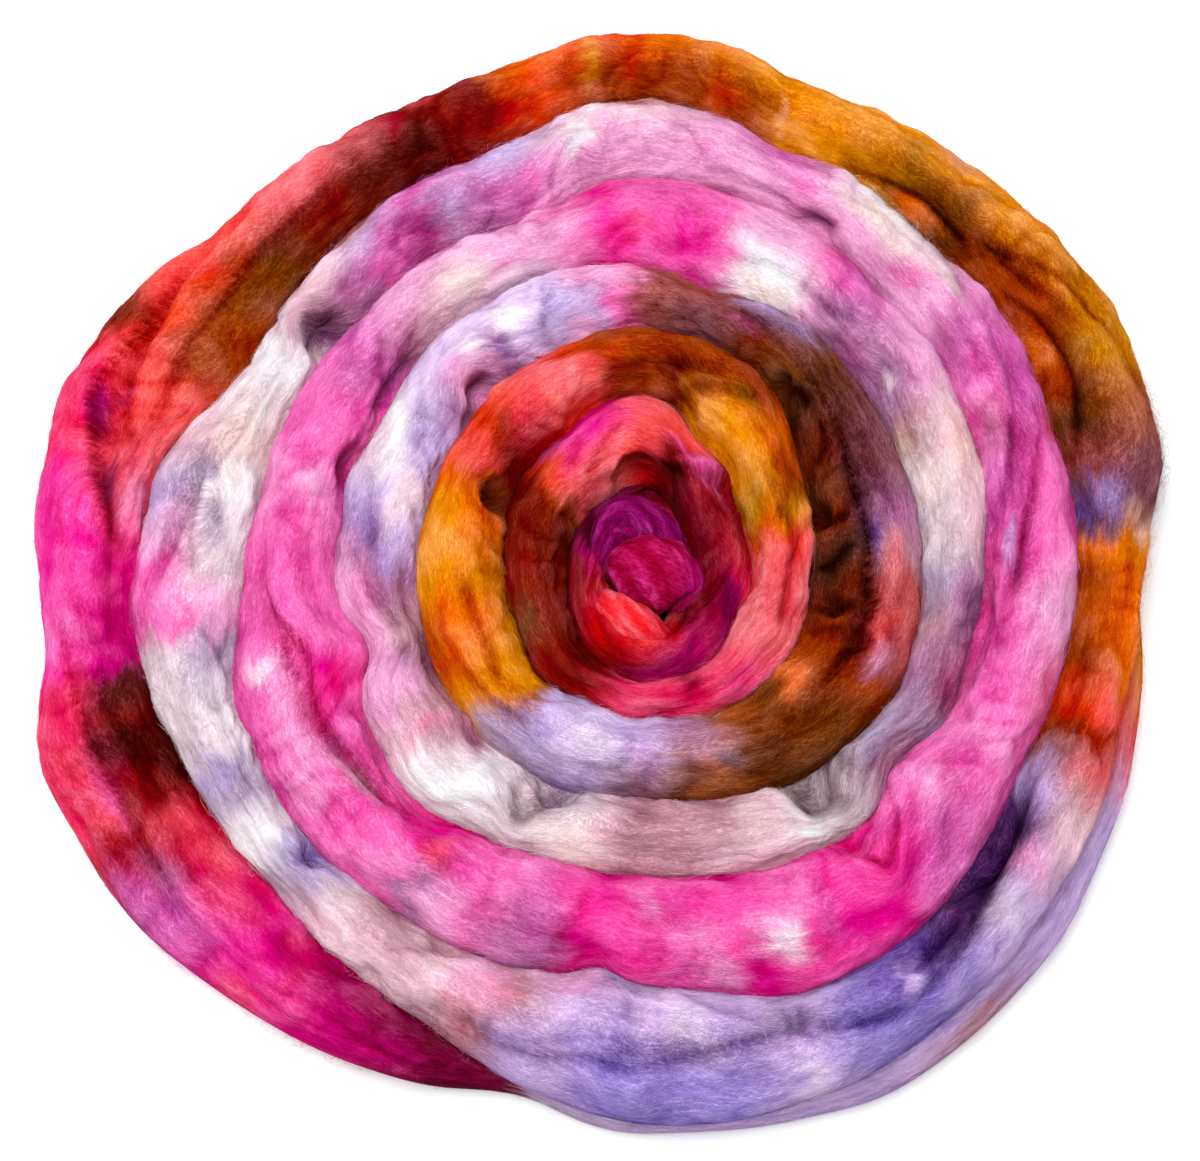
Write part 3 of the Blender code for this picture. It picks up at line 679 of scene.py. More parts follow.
def strand_surface():
    """The whole strand as rows of closed sections: points in mm, outward normals, and for each point its
    place along (turns and mm), its place across, how deep it is pressed in, how much painted shade a fold's
    line or a parting puts there, and its relief.

    A section's crown runs from the inner seam over the top to the outer one: across it follows the cosine of
    an angle and up it the sine, each to a power, so that the flanks stand steep. Its base closes the loop
    with a squarer pair of powers down to the table."""
    places, run = even_places()
    at = places[:, None]
    run = run[:, None]
    inner = outer_edge(at - 1)
    width = np.maximum(outer_edge(at) - inner, LEAST_WIDTH)
    gap = -np.minimum(SEAM_OVERLAP, SEAM_SHARE * width)
    seam_in = read_rows(HEIGHTS, 3, at - 1)
    seam_out = read_rows(HEIGHTS, 3, at)

    theta = np.linspace(0, np.pi, CROWN_COLUMNS)[None, :]
    cosine = np.cos(theta)
    across = (0.5 - 0.5 * np.sign(cosine) * np.abs(cosine) ** (2 / FLANK_POWER)) ** (1 / CREST_LEAN)
    rise = np.clip(np.sin(theta), 0, 1) ** (2 * FLANK_ROOT)
    low = seam_in * (1 - across) + seam_out * across
    full = fade(width / FULL_WIDTH)
    crown_reach = inner + gap + (width - 2 * gap) * across
    crown_height = low + full * (read_rows(HEIGHTS, 2, at) - low) * rise

    turned = np.linspace(0, np.pi, BASE_COLUMNS + 2)[None, 1:-1]
    cosine = np.cos(turned)
    base_across = 0.5 + 0.5 * np.sign(cosine) * np.abs(cosine) ** BASE_SQUARE
    seam = seam_in * (1 - base_across) + seam_out * base_across
    base_reach = inner + gap + (width - 2 * gap) * base_across + BASE_SWELL * np.sin(2 * turned)
    base_height = seam * (1 - np.sin(turned) ** BASE_POWER)

    reach = np.concatenate([crown_reach, base_reach], axis=1)
    height = np.concatenate([crown_height, base_height], axis=1)
    angle = 2 * np.pi * (at + TWELVE)
    points = np.stack([reach * np.cos(angle), reach * np.sin(angle), height], -1)

    even_side = (theta / np.pi - 0.5) * ACROSS_MM
    circle = 2 * np.pi * np.maximum(inner + 0.5 * width, LEAST_REACH)
    side = even_side - swung(at, across, width, circle) + waves(run, even_side, FIBRE_WANDER)
    depth = pressed(at, across, width, circle) * np.minimum(1, 4 * rise)
    raised, line_shade = folded(at, run, np.broadcast_to(across, side.shape), width)
    relief, parting = locks_of(run, side)
    # The partings get painted shade too, on top of that of the fold lines.
    line_shade = line_shade + PARTING_SHADE * parting
    lift = (relief + FOLD_LIFT * raised) * np.minimum(1, 1.5 * rise + 0.2)
    lift[:, 0] = 0
    lift[:, -1] = 0
    outward = normals_of(points)
    moved = np.zeros(points.shape[:2])
    moved[:, :CROWN_COLUMNS] = full * (lift - depth)
    points = points + outward * moved[..., None]
    points[..., 2] = np.maximum(points[..., 2], 0)
    nothing = np.zeros(base_reach.shape)
    under = 0.5 * ACROSS_MM + UNDER_MM * turned / np.pi + nothing
    return {
        "at": places,
        "run": run[:, 0],
        "points": points,
        "normals": normals_of(points),
        "across": np.concatenate([across, base_across], axis=1)[0],
        "rise": np.concatenate([rise, 0 * base_across], axis=1)[0],
        "side": np.concatenate([side, under], axis=1),
        "depth": np.concatenate([depth, nothing], axis=1),
        "line_shade": np.concatenate([line_shade, nothing], axis=1),
        "relief": np.concatenate([relief, nothing], axis=1),
    }


def normals_of(points):
    """Outward normals of rows of closed sections: the slope across crossed with the slope along."""
    over = np.roll(points, -1, axis=1) - np.roll(points, 1, axis=1)
    on = np.gradient(points, axis=0)
    normal = np.cross(over, on)
    size = np.linalg.norm(normal, axis=-1, keepdims=True)
    return normal / np.maximum(size, 1e-9)


# -----------------------------------------------------------------------------------------------------------
# Dyes, as the lit wool shows them: red, green and blue out of 255.

DYES = {
    "hot_rose": (252, 66, 120),
    "grey_violet": (124, 92, 156),
    "slate_lilac": (200, 180, 204),
    "rosewood": (160, 78, 74),
    "brick_pink": (196, 82, 84),
    "dark_brick": (158, 26, 36),
    "flame": (240, 52, 62),
    "plum": (134, 5, 86),
    "hot_pink": (242, 62, 158),
    "pink": (240, 108, 180),
    "light_pink": (238, 165, 208),
    "pale_pink": (240, 196, 210),
    "rose": (235, 62, 108),
    "orchid": (216, 106, 180),
    "mauve": (178, 118, 160),
    "dusky": (140, 82, 92),
    "dusky_magenta": (172, 62, 125),
    "taupe_pink": (194, 140, 156),
    "lilac": (202, 174, 222),
    "periwinkle": (156, 134, 206),
    "violet": (112, 78, 168),
    "dark_violet": (110, 66, 126),
    "purple": (134, 8, 116),
    "magenta": (212, 20, 126),
    "deep_magenta": (168, 4, 92),
    "crimson": (202, 30, 54),
    "dark_crimson": (132, 12, 38),
    "wine": (128, 4, 60),
    "maroon": (84, 12, 12),
    "dark_red": (140, 24, 16),
    "red": (238, 46, 52),
    "coral": (246, 88, 84),
    "salmon": (252, 114, 122),
    "orange_red": (224, 72, 28),
    "orange": (238, 112, 14),
    "golden": (232, 144, 34),
    "amber": (212, 138, 34),
    "olive_gold": (172, 118, 16),
    "rust": (164, 64, 12),
    "brown": (118, 60, 24),
    "red_brown": (116, 40, 16),
    "dark_brown": (66, 28, 12),
    "tan": (192, 150, 104),
    "peach": (238, 184, 164),
    "grey_white": (224, 204, 212),
    "grey_lilac": (182, 160, 188),
    "white": (252, 240, 246),
    "cream": (242, 216, 214),
    "brick": (198, 62, 70),
    "raspberry": (166, 8, 70),
    "pale_lilac": (228, 200, 240),
    "watermelon": (255, 100, 132),
    "copper": (172, 88, 40),
    "mahogany": (124, 28, 4),
    "garnet": (148, 10, 22),
}

# Dye along the strand, turn by turn: at each hour its inner side's dye, and its outer side's if it differs.
DYED = {
    # turn: hour, inner, outer
    1: (
        # The maroon at twelve of turn 1 is painted shade under the lip of turn 2.
        (12.0, "maroon"), (11.7, "garnet", "wine"), (11.3, "plum"), (10.6, "deep_magenta", "wine"),
        (10.3, "wine"), (9.8, "wine"), (9.3, "garnet"), (8.6, "garnet"), (8.2, "garnet"), (7.0, "garnet"),
        (6.3, "red", "dark_crimson"), (5.9, "crimson", "deep_magenta"), (5.4, "crimson", "deep_magenta"),
        (5.0, "dark_crimson", "deep_magenta"), (4.3, "dark_crimson", "deep_magenta"),
        (3.8, "dark_crimson", "deep_magenta"), (3.4, "dark_crimson", "rose"),
        (2.8, "dark_crimson", "crimson"), (1.8, "dark_crimson", "dark_brick"),
        (1.2, "dark_crimson", "dark_brick"), (12.6, "dark_crimson", "coral"),
    ),
    2: (
        (12.0, "crimson", "coral"), (11.6, "coral", "rose"), (11.4, "salmon", "hot_pink"),
        (11.3, "salmon", "hot_pink"), (10.8, "salmon", "hot_pink"), (10.5, "salmon", "orange_red"),
        (10.2, "rust", "dark_red"), (9.9, "mahogany"), (9.3, "mahogany"), (8.8, "mahogany", "dark_red"),
        (8.1, "dark_red", "brown"), (7.6, "mahogany", "dark_red"), (7.1, "maroon", "dark_red"),
        (6.7, "dark_red", "crimson"), (6.3, "rose", "hot_rose"), (5.8, "rose", "hot_rose"),
        (5.5, "dark_crimson", "rose"), (5.2, "rose"), (4.8, "watermelon"), (4.2, "salmon"), (3.3, "salmon"),
        (2.8, "coral"), (2.5, "orange_red", "golden"), (2.0, "amber", "rust"), (1.4, "golden", "orange"),
        (1.0, "golden", "rust"), (12.7, "golden", "rust"), (12.3, "mahogany", "rust"),
    ),
    3: (
        (12.0, "rust"), (11.7, "rust", "brown"), (11.4, "coral", "orange_red"), (11.0, "coral", "salmon"),
        (10.7, "crimson", "coral"), (10.4, "dark_red", "orange_red"), (10.1, "dark_red", "coral"),
        (9.8, "copper", "orange"), (9.5, "orange", "golden"), (8.8, "golden"), (8.2, "golden", "orange"),
        (7.8, "golden"), (7.5, "golden"), (7.3, "copper", "taupe_pink"), (7.1, "lilac", "grey_lilac"),
        (6.7, "lilac"), (6.3, "lilac", "grey_lilac"), (6.1, "lilac", "mauve"), (5.8, "mauve", "brown"),
        (5.5, "taupe_pink", "copper"), (5.2, "copper", "brown"), (4.8, "brown"), (4.6, "brown"),
        (4.4, "copper", "brown"), (4.1, "rust"), (3.9, "rust", "rosewood"), (3.7, "red_brown", "brick_pink"),
        (3.5, "red_brown", "brick_pink"), (3.2, "dark_brown", "brick_pink"),
        (2.9, "dark_brown", "taupe_pink"), (2.6, "red_brown", "mauve"), (2.2, "dark_brown", "dusky"),
        (1.8, "red_brown", "dusky"), (1.4, "dark_brown", "brown"), (1.1, "brown", "dusky"),
        (12.8, "red_brown", "dusky"), (12.4, "dusky", "rosewood"),
    ),
    4: (
        (12.0, "rosewood"), (11.8, "pink", "light_pink"), (11.6, "lilac", "light_pink"),
        (11.4, "lilac", "pale_lilac"), (11.1, "pale_lilac"), (10.9, "mauve", "pale_lilac"),
        (10.6, "light_pink", "pale_lilac"), (10.4, "mauve", "pale_lilac"), (10.1, "lilac", "white"),
        (9.8, "lilac", "white"), (9.5, "pale_lilac", "lilac"), (9.2, "lilac", "mauve"),
        (8.9, "mauve", "light_pink"), (8.5, "taupe_pink", "light_pink"), (8.2, "mauve", "light_pink"),
        (8.0, "taupe_pink", "light_pink"), (7.8, "taupe_pink", "pale_pink"), (7.6, "taupe_pink", "white"),
        (7.3, "white"), (6.9, "grey_white"), (6.5, "grey_white", "cream"), (6.3, "pale_pink"),
        (6.1, "taupe_pink"), (5.8, "taupe_pink"), (5.5, "taupe_pink", "pale_pink"), (5.2, "pale_pink"),
        (5.0, "grey_white", "white"), (4.7, "grey_white"), (4.4, "grey_lilac", "mauve"), (4.1, "grey_lilac"),
        (3.8, "mauve", "taupe_pink"), (3.4, "taupe_pink", "mauve"), (3.1, "grey_lilac", "mauve"),
        (2.8, "grey_white", "pale_pink"), (2.3, "grey_white", "pale_pink"), (2.0, "taupe_pink", "pale_pink"),
        (1.8, "mauve", "light_pink"), (1.5, "mauve", "light_pink"), (1.2, "mauve", "orchid"),
        (1.0, "light_pink", "pink"), (12.8, "white", "light_pink"), (12.6, "white", "light_pink"),
        (12.4, "pink"),
    ),
    5: (
        (12.0, "hot_pink", "pink"), (11.8, "hot_pink"), (11.4, "light_pink"), (11.2, "light_pink"),
        (10.9, "pale_pink", "light_pink"), (10.6, "taupe_pink", "light_pink"), (10.3, "orchid"),
        (10.0, "pink"), (9.6, "pink"), (9.0, "pink"), (8.6, "pink"), (8.3, "hot_pink", "pink"), (8.0, "pink"),
        (7.6, "pink"), (7.3, "hot_pink", "pink"), (7.15, "magenta", "mauve"), (6.9, "pink"),
        (6.6, "pink", "mauve"), (6.35, "hot_pink", "magenta"), (6.1, "hot_pink"), (5.8, "pink"),
        (5.55, "hot_pink"), (5.3, "pink", "hot_pink"), (5.1, "hot_pink"), (4.85, "hot_pink"),
        (4.5, "pink", "orchid"), (4.1, "pink"), (3.7, "pink"), (3.2, "pink", "light_pink"), (2.9, "pink"),
        (2.5, "orchid", "pink"), (2.1, "pink", "orchid"), (1.8, "orchid"), (1.5, "light_pink"),
        (1.2, "light_pink", "white"), (1.0, "light_pink", "white"), (12.8, "light_pink"),
        (12.6, "light_pink", "orchid"), (12.3, "light_pink"),
    ),
    6: (
        (12.0, "light_pink", "pale_pink"), (11.7, "light_pink", "pale_pink"), (11.4, "orchid", "lilac"),
        (11.1, "mauve", "orchid"), (10.95, "dusky_magenta", "orchid"), (10.75, "orchid", "lilac"),
        (10.5, "mauve", "pale_pink"), (10.3, "taupe_pink", "pale_pink"), (10.0, "white"),
        (9.6, "cream", "pale_pink"), (9.4, "white", "grey_lilac"), (9.12, "grey_white", "light_pink"),
        (9.04, "grey_white", "pink"), (8.8, "light_pink", "pink"), (8.65, "grey_lilac", "grey_white"),
        (8.3, "white", "grey_white"), (8.0, "grey_lilac"), (7.8, "white"), (7.65, "periwinkle", "grey_lilac"),
        (7.4, "grey_white", "pale_pink"), (7.2, "taupe_pink", "pale_pink"), (6.9, "pale_pink"),
        (6.7, "light_pink", "taupe_pink"), (6.55, "taupe_pink", "lilac"), (6.35, "pale_lilac", "lilac"),
        (6.2, "lilac", "periwinkle"), (6.0, "pale_lilac", "periwinkle"), (5.7, "lilac", "periwinkle"),
        (5.4, "lilac"), (5.2, "periwinkle"), (4.95, "violet", "periwinkle"), (4.7, "dark_violet", "lilac"),
        (4.4, "dark_violet", "lilac"), (4.15, "dark_violet", "pale_pink"), (4.0, "lilac", "pale_pink"),
        (3.85, "dusky", "salmon"), (3.75, "rust", "orange_red"), (3.6, "orange_red", "coral"),
        (3.4, "rust", "orange"), (3.0, "rust", "orange"), (2.86, "orange", "golden"), (2.8, "dusky", "peach"),
        (2.7, "grey_violet", "dusky"), (2.5, "rosewood", "dusky"), (2.3, "brown", "copper"),
        (2.1, "rust", "amber"), (1.8, "rust", "amber"), (1.5, "rust", "golden"), (1.3, "brown", "golden"),
        (1.1, "brown", "golden"), (12.9, "amber", "golden"), (12.6, "golden"), (12.4, "rust", "golden"),
    ),
    7: (
        (12.0, "rust", "orange"), (11.8, "rust", "orange_red"), (11.6, "orange_red", "orange"),
        (11.4, "dark_red"), (11.1, "maroon", "mahogany"), (10.8, "mahogany", "salmon"),
        (10.6, "mahogany", "salmon"), (10.4, "brown", "coral"), (10.1, "rust", "coral"),
        (9.9, "rust", "coral"), (9.7, "coral", "rose"), (9.5, "salmon", "rose"), (9.3, "rose", "hot_pink"),
        (9.1, "hot_pink"), (8.8, "magenta", "pink"), (8.68, "magenta", "hot_pink"), (8.6, "maroon", "rose"),
        (8.2, "maroon", "watermelon"), (8.05, "crimson", "brick"), (7.8, "rose", "orchid"),
        (7.5, "magenta", "hot_pink"), (7.15, "deep_magenta", "magenta"), (6.9, "wine", "deep_magenta"),
        (6.7, "wine"), (6.5, "wine"), (6.42, "slate_lilac"), (5.8, "pale_lilac", "lilac"), (5.2, "lilac"),
        (4.8, "lilac", "taupe_pink"), (4.5, "lilac"), (3.9, "lilac"), (3.6, "salmon"),
        (3.3, "orange", "golden"), (3.1, "orange", "golden"),
    ),
}

# Patches of another dye, turn by turn: place, half length, half width, the dye and how much of it there is.
# Some lean on along the strand by so many mm for each one across it.
PATCHES = {
    # turn: hour, across, long, wide, dye, share, lean
    1: (
        # The maroon patch at 10.2 is painted shade in the groove beside the arch.
        (9.75, 0.45, 5, 5, "magenta", 0.5), (10.2, 0.3, 3, 9, "maroon", 0.8, -0.5),
        (8.0, 0.1, 9, 5, "red", 0.4), (7.6, 0.35, 9, 6, "crimson", 0.6), (7.3, 0.1, 10, 7, "flame", 0.55),
        (6.6, 0.12, 9, 6, "flame", 0.7), (5.2, 0.15, 5, 3, "dark_red", 0.7),
        (4.6, 0.65, 5, 5, "rose", 0.2, 1.0), (3.8, 0.65, 6, 5, "purple", 0.5, 1.0),
        (12.8, 0.65, 9, 3, "pink", 0.9, 2.0), (12.5, 0.48, 5, 2, "purple", 0.6, 2.0),
        # The maroon patch at 12.35 is painted shade under the lip of turn 2.
        (12.35, 0.12, 10, 8, "maroon", 0.9), (12.3, 0.7, 8, 10, "coral", 0.6, 0.5),
    ),
    2: (
        (11.98, 0.6, 5, 12, "coral", 0.8), (11.5, 0.85, 12, 8, "hot_pink", 0.6),
        (10.7, 0.95, 5, 5, "dusky_magenta", 0.7), (10.55, 0.5, 7, 9, "orange_red", 0.7),
        (6.1, 0.65, 10, 9, "rose", 0.8), (4.75, 0.75, 8, 6, "hot_pink", 0.5),
        (4.3, 0.45, 12, 8, "salmon", 0.7), (2.22, 0.52, 2.4, 2.0, "red_brown", 0.9),
        (2.1, 0.14, 11, 3.5, "olive_gold", 0.6), (2.25, 0.72, 8, 3, "olive_gold", 0.5),
        (12.9, 0.62, 6, 4, "olive_gold", 0.8, 1.0), (12.72, 0.26, 8, 4.5, "golden", 0.9, 1.0),
        (12.55, 0.18, 4, 3, "amber", 0.6, 1.0),
    ),
    3: (
        (11.75, 0.6, 6, 9, "orange_red", 0.5), (11.25, 0.38, 10, 6, "salmon", 0.7),
        (10.45, 0.42, 6, 6, "dark_red", 0.7), (10.1, 0.4, 6, 7, "coral", 0.6),
        # The dark brown patch at 9.78 is painted shade in the pit there.
        (9.72, 0.3, 6, 5, "orange", 0.8), (9.78, 0.12, 4, 4, "dark_brown", 0.35),
        (9.6, 0.15, 4, 4, "rust", 0.6), (8.3, 0.6, 16, 8, "orange", 0.5), (8.3, 0.28, 14, 6, "orange", 0.5),
        (7.35, 0.85, 9, 5, "grey_lilac", 0.8), (7.05, 0.62, 6, 7, "periwinkle", 0.4, 0.3),
        (6.6, 0.5, 10, 8, "white", 0.45), (6.2, 0.92, 10, 4, "dusky", 0.6), (6.0, 0.45, 7, 7, "lilac", 0.5),
        (5.75, 0.6, 7, 8, "taupe_pink", 0.6), (5.7, 0.9, 12, 4, "brown", 0.6),
        (5.55, 0.35, 6, 8, "mauve", 0.5), (5.32, 0.6, 6, 5, "grey_lilac", 0.4),
        (4.75, 0.45, 8, 7, "copper", 0.6), (5.2, 0.15, 12, 5, "copper", 0.5),
        (4.35, 0.25, 9, 6, "orange", 0.7), (3.82, 0.72, 7, 4, "light_pink", 0.5, 0.6),
        (3.75, 0.42, 9, 5, "red_brown", 0.85), (3.55, 0.72, 6, 4, "coral", 0.4),
        (3.65, 0.25, 4, 5, "rust", 0.5), (3.25, 0.42, 10, 5.5, "red_brown", 0.9),
        (2.95, 0.72, 8, 4, "coral", 0.4), (2.8, 0.55, 9, 2.4, "violet", 0.6),
        (2.75, 0.44, 10, 4.5, "dark_brown", 0.5), (2.6, 0.82, 8, 4, "dusky_magenta", 0.4),
        (2.2, 0.25, 10, 6, "rust", 0.35), (12.95, 0.76, 10, 4, "lilac", 0.5, 0.6),
        (12.75, 0.76, 7, 3, "lilac", 0.6, 0.6), (12.7, 0.4, 5, 4, "dusky_magenta", 0.4),
    ),
    4: (
        (11.88, 0.85, 7, 6, "hot_pink", 0.5), (11.5, 0.12, 6, 5, "light_pink", 0.8),
        (11.3, 0.4, 5, 14, "periwinkle", 0.4, 0.4), (11.25, 0.2, 4, 8, "grey_lilac", 0.6),
        (11.05, 0.55, 6, 7, "white", 0.9), (10.92, 0.25, 4, 6, "violet", 0.45),
        (10.75, 0.52, 6, 5, "white", 0.8), (10.55, 0.4, 9, 8, "light_pink", 0.7),
        (10.2, 0.6, 5, 10, "periwinkle", 0.2, 0.6), (9.95, 0.28, 6, 7, "violet", 0.1, 0.6),
        (9.85, 0.6, 10, 8, "white", 0.8), (9.8, 0.86, 9, 5, "mauve", 0.5), (9.5, 0.3, 12, 6, "cream", 0.7),
        (9.25, 0.7, 9, 6, "periwinkle", 0.5, 0.8), (9.0, 0.35, 6, 6, "periwinkle", 0.5),
        (8.75, 0.65, 8, 5, "pink", 0.3, 0.5), (8.75, 0.35, 9, 6, "mauve", 0.7),
        (8.45, 0.42, 6, 6, "pale_pink", 0.8), (8.1, 0.4, 7, 7, "light_pink", 0.6),
        (8.2, 0.1, 14, 5, "dusky", 0.6), (7.73, 0.5, 3.5, 10, "hot_pink", 0.35, -0.1),
        (7.5, 0.12, 9, 5, "dusky_magenta", 0.6), (7.3, 0.6, 10, 9, "white", 0.7),
        (6.7, 0.06, 6, 6, "dark_violet", 0.5), (6.05, 0.3, 9, 12, "taupe_pink", 0.5, 0.2),
        (5.3, 0.3, 7, 9, "cream", 0.6), (4.86, 0.15, 6, 12, "dark_brown", 0.6),
        (4.62, 0.1, 5, 5, "dark_brown", 0.6), (4.35, 0.8, 9, 5, "taupe_pink", 0.5),
        (3.75, 0.82, 14, 6, "dusky_magenta", 0.8), (4.1, 0.45, 9, 7, "mauve", 0.4),
        (2.9, 0.5, 9, 10, "grey_white", 0.6), (2.4, 0.25, 12, 6, "cream", 0.9),
        (2.25, 0.75, 12, 6, "peach", 0.6), (2.1, 0.15, 8, 4, "tan", 0.4),
        (1.4, 0.12, 12, 5, "dusky_magenta", 0.6), (1.7, 0.25, 4, 3, "white", 0.5),
        (1.05, 0.25, 9, 5, "mauve", 0.6), (12.7, 0.14, 11, 5, "cream", 0.95),
        (12.25, 0.35, 12, 11, "hot_pink", 0.5),
    ),
    5: (
        (11.95, 0.35, 8, 7, "rose", 0.45), (11.5, 0.45, 12, 8, "light_pink", 0.7),
        (11.25, 0.1, 12, 4, "grey_white", 0.7), (10.97, 0.32, 9, 8, "cream", 0.95),
        (10.6, 0.55, 9, 9, "light_pink", 0.6), (10.35, 0.22, 12, 6, "dusky_magenta", 0.45),
        (10.15, 0.45, 9, 8, "mauve", 0.4), (9.45, 0.35, 10, 8, "light_pink", 0.75),
        (9.5, 0.9, 16, 6, "light_pink", 0.5), (9.1, 0.5, 14, 12, "hot_pink", 0.2),
        (8.47, 0.74, 4, 6, "white", 0.75), (8.55, 0.48, 5, 3, "crimson", 0.3),
        (8.35, 0.62, 12, 7, "light_pink", 0.6, 0.6), (8.3, 0.22, 12, 5, "rose", 0.5),
        (8.05, 0.6, 8, 8, "light_pink", 0.6, 0.6), (7.95, 0.4, 7, 6, "light_pink", 0.6, 0.4),
        (7.85, 0.72, 8, 7, "light_pink", 0.55), (7.75, 0.28, 9, 4, "pale_pink", 0.8, 0.8),
        (7.6, 0.65, 10, 7, "hot_pink", 0.4), (7.35, 0.62, 6, 8, "light_pink", 0.45),
        (7.15, 0.38, 5, 5, "rose", 0.8), (7.0, 0.75, 8, 9, "light_pink", 0.7),
        (6.6, 0.6, 6, 14, "orchid", 0.7), (6.2, 0.55, 10, 12, "hot_pink", 0.5),
        (6.75, 0.2, 8, 6, "pink", 0.7), (6.05, 0.35, 6, 7, "light_pink", 0.5),
        (5.75, 0.6, 7, 7, "light_pink", 0.35), (5.75, 0.25, 8, 8, "hot_pink", 0.7),
        (5.7, 0.85, 6, 5, "light_pink", 0.7), (5.42, 0.58, 9, 10, "light_pink", 0.6),
        (5.37, 0.62, 4.5, 7, "white", 0.7), (5.15, 0.5, 5, 12, "orchid", 0.6),
        (4.85, 0.35, 4, 4, "magenta", 0.4), (4.6, 0.75, 14, 8, "orchid", 0.6, 0.5),
        (4.3, 0.35, 8, 8, "light_pink", 0.4), (4.0, 0.5, 7, 12, "light_pink", 0.4),
        (3.6, 0.85, 14, 5, "salmon", 0.4), (3.15, 0.55, 9, 9, "light_pink", 0.5),
        (2.85, 0.22, 10, 3, "lilac", 0.7), (2.2, 0.2, 14, 5, "taupe_pink", 0.5),
        (1.95, 0.6, 12, 7, "dusky_magenta", 0.3), (1.7, 0.15, 12, 5, "dusky_magenta", 0.5),
        (1.1, 0.52, 20, 6, "cream", 1.0), (1.45, 0.62, 12, 4, "cream", 0.7), (1.3, 0.34, 9, 5, "pink", 0.7),
        # The brown, brick and rosewood patches at the outer seam are painted shade of the gap between turns 5
        # and 6.
        (1.25, 0.97, 18, 7, "brown", 0.9), (2.25, 0.98, 9, 5, "brick", 0.8),
        (12.3, 0.98, 14, 5, "rosewood", 0.7), (12.75, 0.98, 10, 4, "rosewood", 0.5),
        (12.7, 0.38, 6, 7, "pink", 0.6), (12.95, 0.15, 9, 4, "light_pink", 0.7),
    ),
    6: (
        (11.95, 0.88, 10, 6, "rosewood", 0.8), (11.85, 0.4, 9, 10, "light_pink", 0.7),
        (11.72, 0.55, 5, 9, "white", 0.9, 0.4), (11.48, 0.25, 4, 12, "pink", 0.45),
        (11.1, 0.45, 9, 9, "lilac", 0.5), (10.8, 0.5, 5, 7, "magenta", 0.4),
        (10.72, 0.94, 12, 8, "rosewood", 1.0), (10.7, 0.15, 8, 5, "pink", 0.6),
        (10.5, 0.3, 6, 6, "dusky_magenta", 0.5), (10.28, 0.18, 9, 10, "dark_violet", 0.6),
        (10.05, 0.4, 10, 14, "white", 0.8), (9.85, 0.95, 8, 4, "taupe_pink", 0.9),
        (9.7, 0.45, 14, 8, "cream", 0.8), (9.45, 0.48, 9, 3, "grey_lilac", 0.9),
        (9.2, 0.3, 8, 5, "grey_lilac", 0.7), (9.15, 0.12, 7, 5, "white", 0.8),
        (9.35, 0.85, 9, 6, "lilac", 0.8), (8.76, 0.5, 4, 8, "hot_pink", 0.75),
        (8.75, 0.15, 9, 5, "light_pink", 0.6), (8.12, 0.65, 5, 12, "periwinkle", 0.45),
        (7.8, 0.6, 12, 9, "white", 0.7), (7.74, 0.28, 5, 7, "violet", 0.4),
        (7.62, 0.1, 3, 5, "dark_violet", 0.4), (7.1, 0.45, 9, 9, "pale_pink", 0.6),
        (6.75, 0.75, 5, 9, "salmon", 0.2), (6.62, 0.55, 4, 9, "dusky", 0.2),
        (6.65, 0.25, 9, 6, "salmon", 0.2), (6.35, 0.12, 14, 5, "light_pink", 0.7),
        (6.3, 0.65, 6, 9, "periwinkle", 0.4), (6.15, 0.5, 3.5, 14, "violet", 0.4),
        (5.85, 0.3, 9, 6, "white", 0.45), (5.8, 0.48, 10, 4, "grey_lilac", 0.6),
        (5.5, 0.25, 6, 6, "grey_lilac", 0.7), (5.45, 0.85, 5, 7, "white", 0.4),
        (5.2, 0.42, 7, 7, "periwinkle", 0.8), (4.96, 0.42, 5, 7, "lilac", 0.9),
        (4.6, 0.3, 12, 7, "dark_violet", 0.7, 0.6), (4.75, 0.8, 7, 9, "periwinkle", 0.7),
        (4.5, 0.6, 9, 8, "white", 0.4), (4.3, 0.55, 8, 9, "light_pink", 0.8),
        (4.1, 0.12, 16, 5, "dark_violet", 0.5), (3.95, 0.72, 7, 9, "rust", 0.35),
        (3.78, 0.55, 5, 12, "taupe_pink", 0.4), (3.68, 0.6, 4, 14, "red_brown", 0.5),
        (3.55, 0.18, 10, 5, "orange_red", 0.8), (3.2, 0.55, 14, 14, "orange", 0.4),
        (2.65, 0.34, 6, 5, "lilac", 0.35), (2.6, 0.12, 7, 4, "grey_violet", 0.55),
        (2.55, 0.75, 8, 9, "dusky", 0.3), (2.2, 0.35, 7, 8, "brown", 0.6),
        (2.05, 0.45, 8, 7, "olive_gold", 0.5), (1.95, 0.12, 14, 5, "orange", 0.5),
        (1.75, 0.35, 10, 6, "orange", 0.5), (1.5, 0.25, 7, 8, "brown", 0.5),
        (1.33, 0.45, 6, 12, "brown", 0.6), (1.2, 0.85, 9, 6, "peach", 0.5), (1.15, 0.1, 10, 5, "orange", 0.8),
        (1.05, 0.5, 6, 12, "olive_gold", 0.6), (12.85, 0.15, 6, 7, "olive_gold", 0.3),
        (12.7, 0.55, 12, 9, "golden", 0.6), (12.55, 0.3, 5, 12, "golden", 0.9),
        (12.53, 0.38, 2.5, 9, "peach", 0.45), (12.3, 0.25, 6, 12, "orange_red", 0.5),
    ),
    7: (
        (11.95, 0.5, 6, 12, "orange_red", 0.6), (11.8, 0.55, 4, 12, "amber", 0.8),
        (11.6, 0.5, 6, 14, "orange_red", 0.7), (11.4, 0.5, 7, 14, "maroon", 0.3),
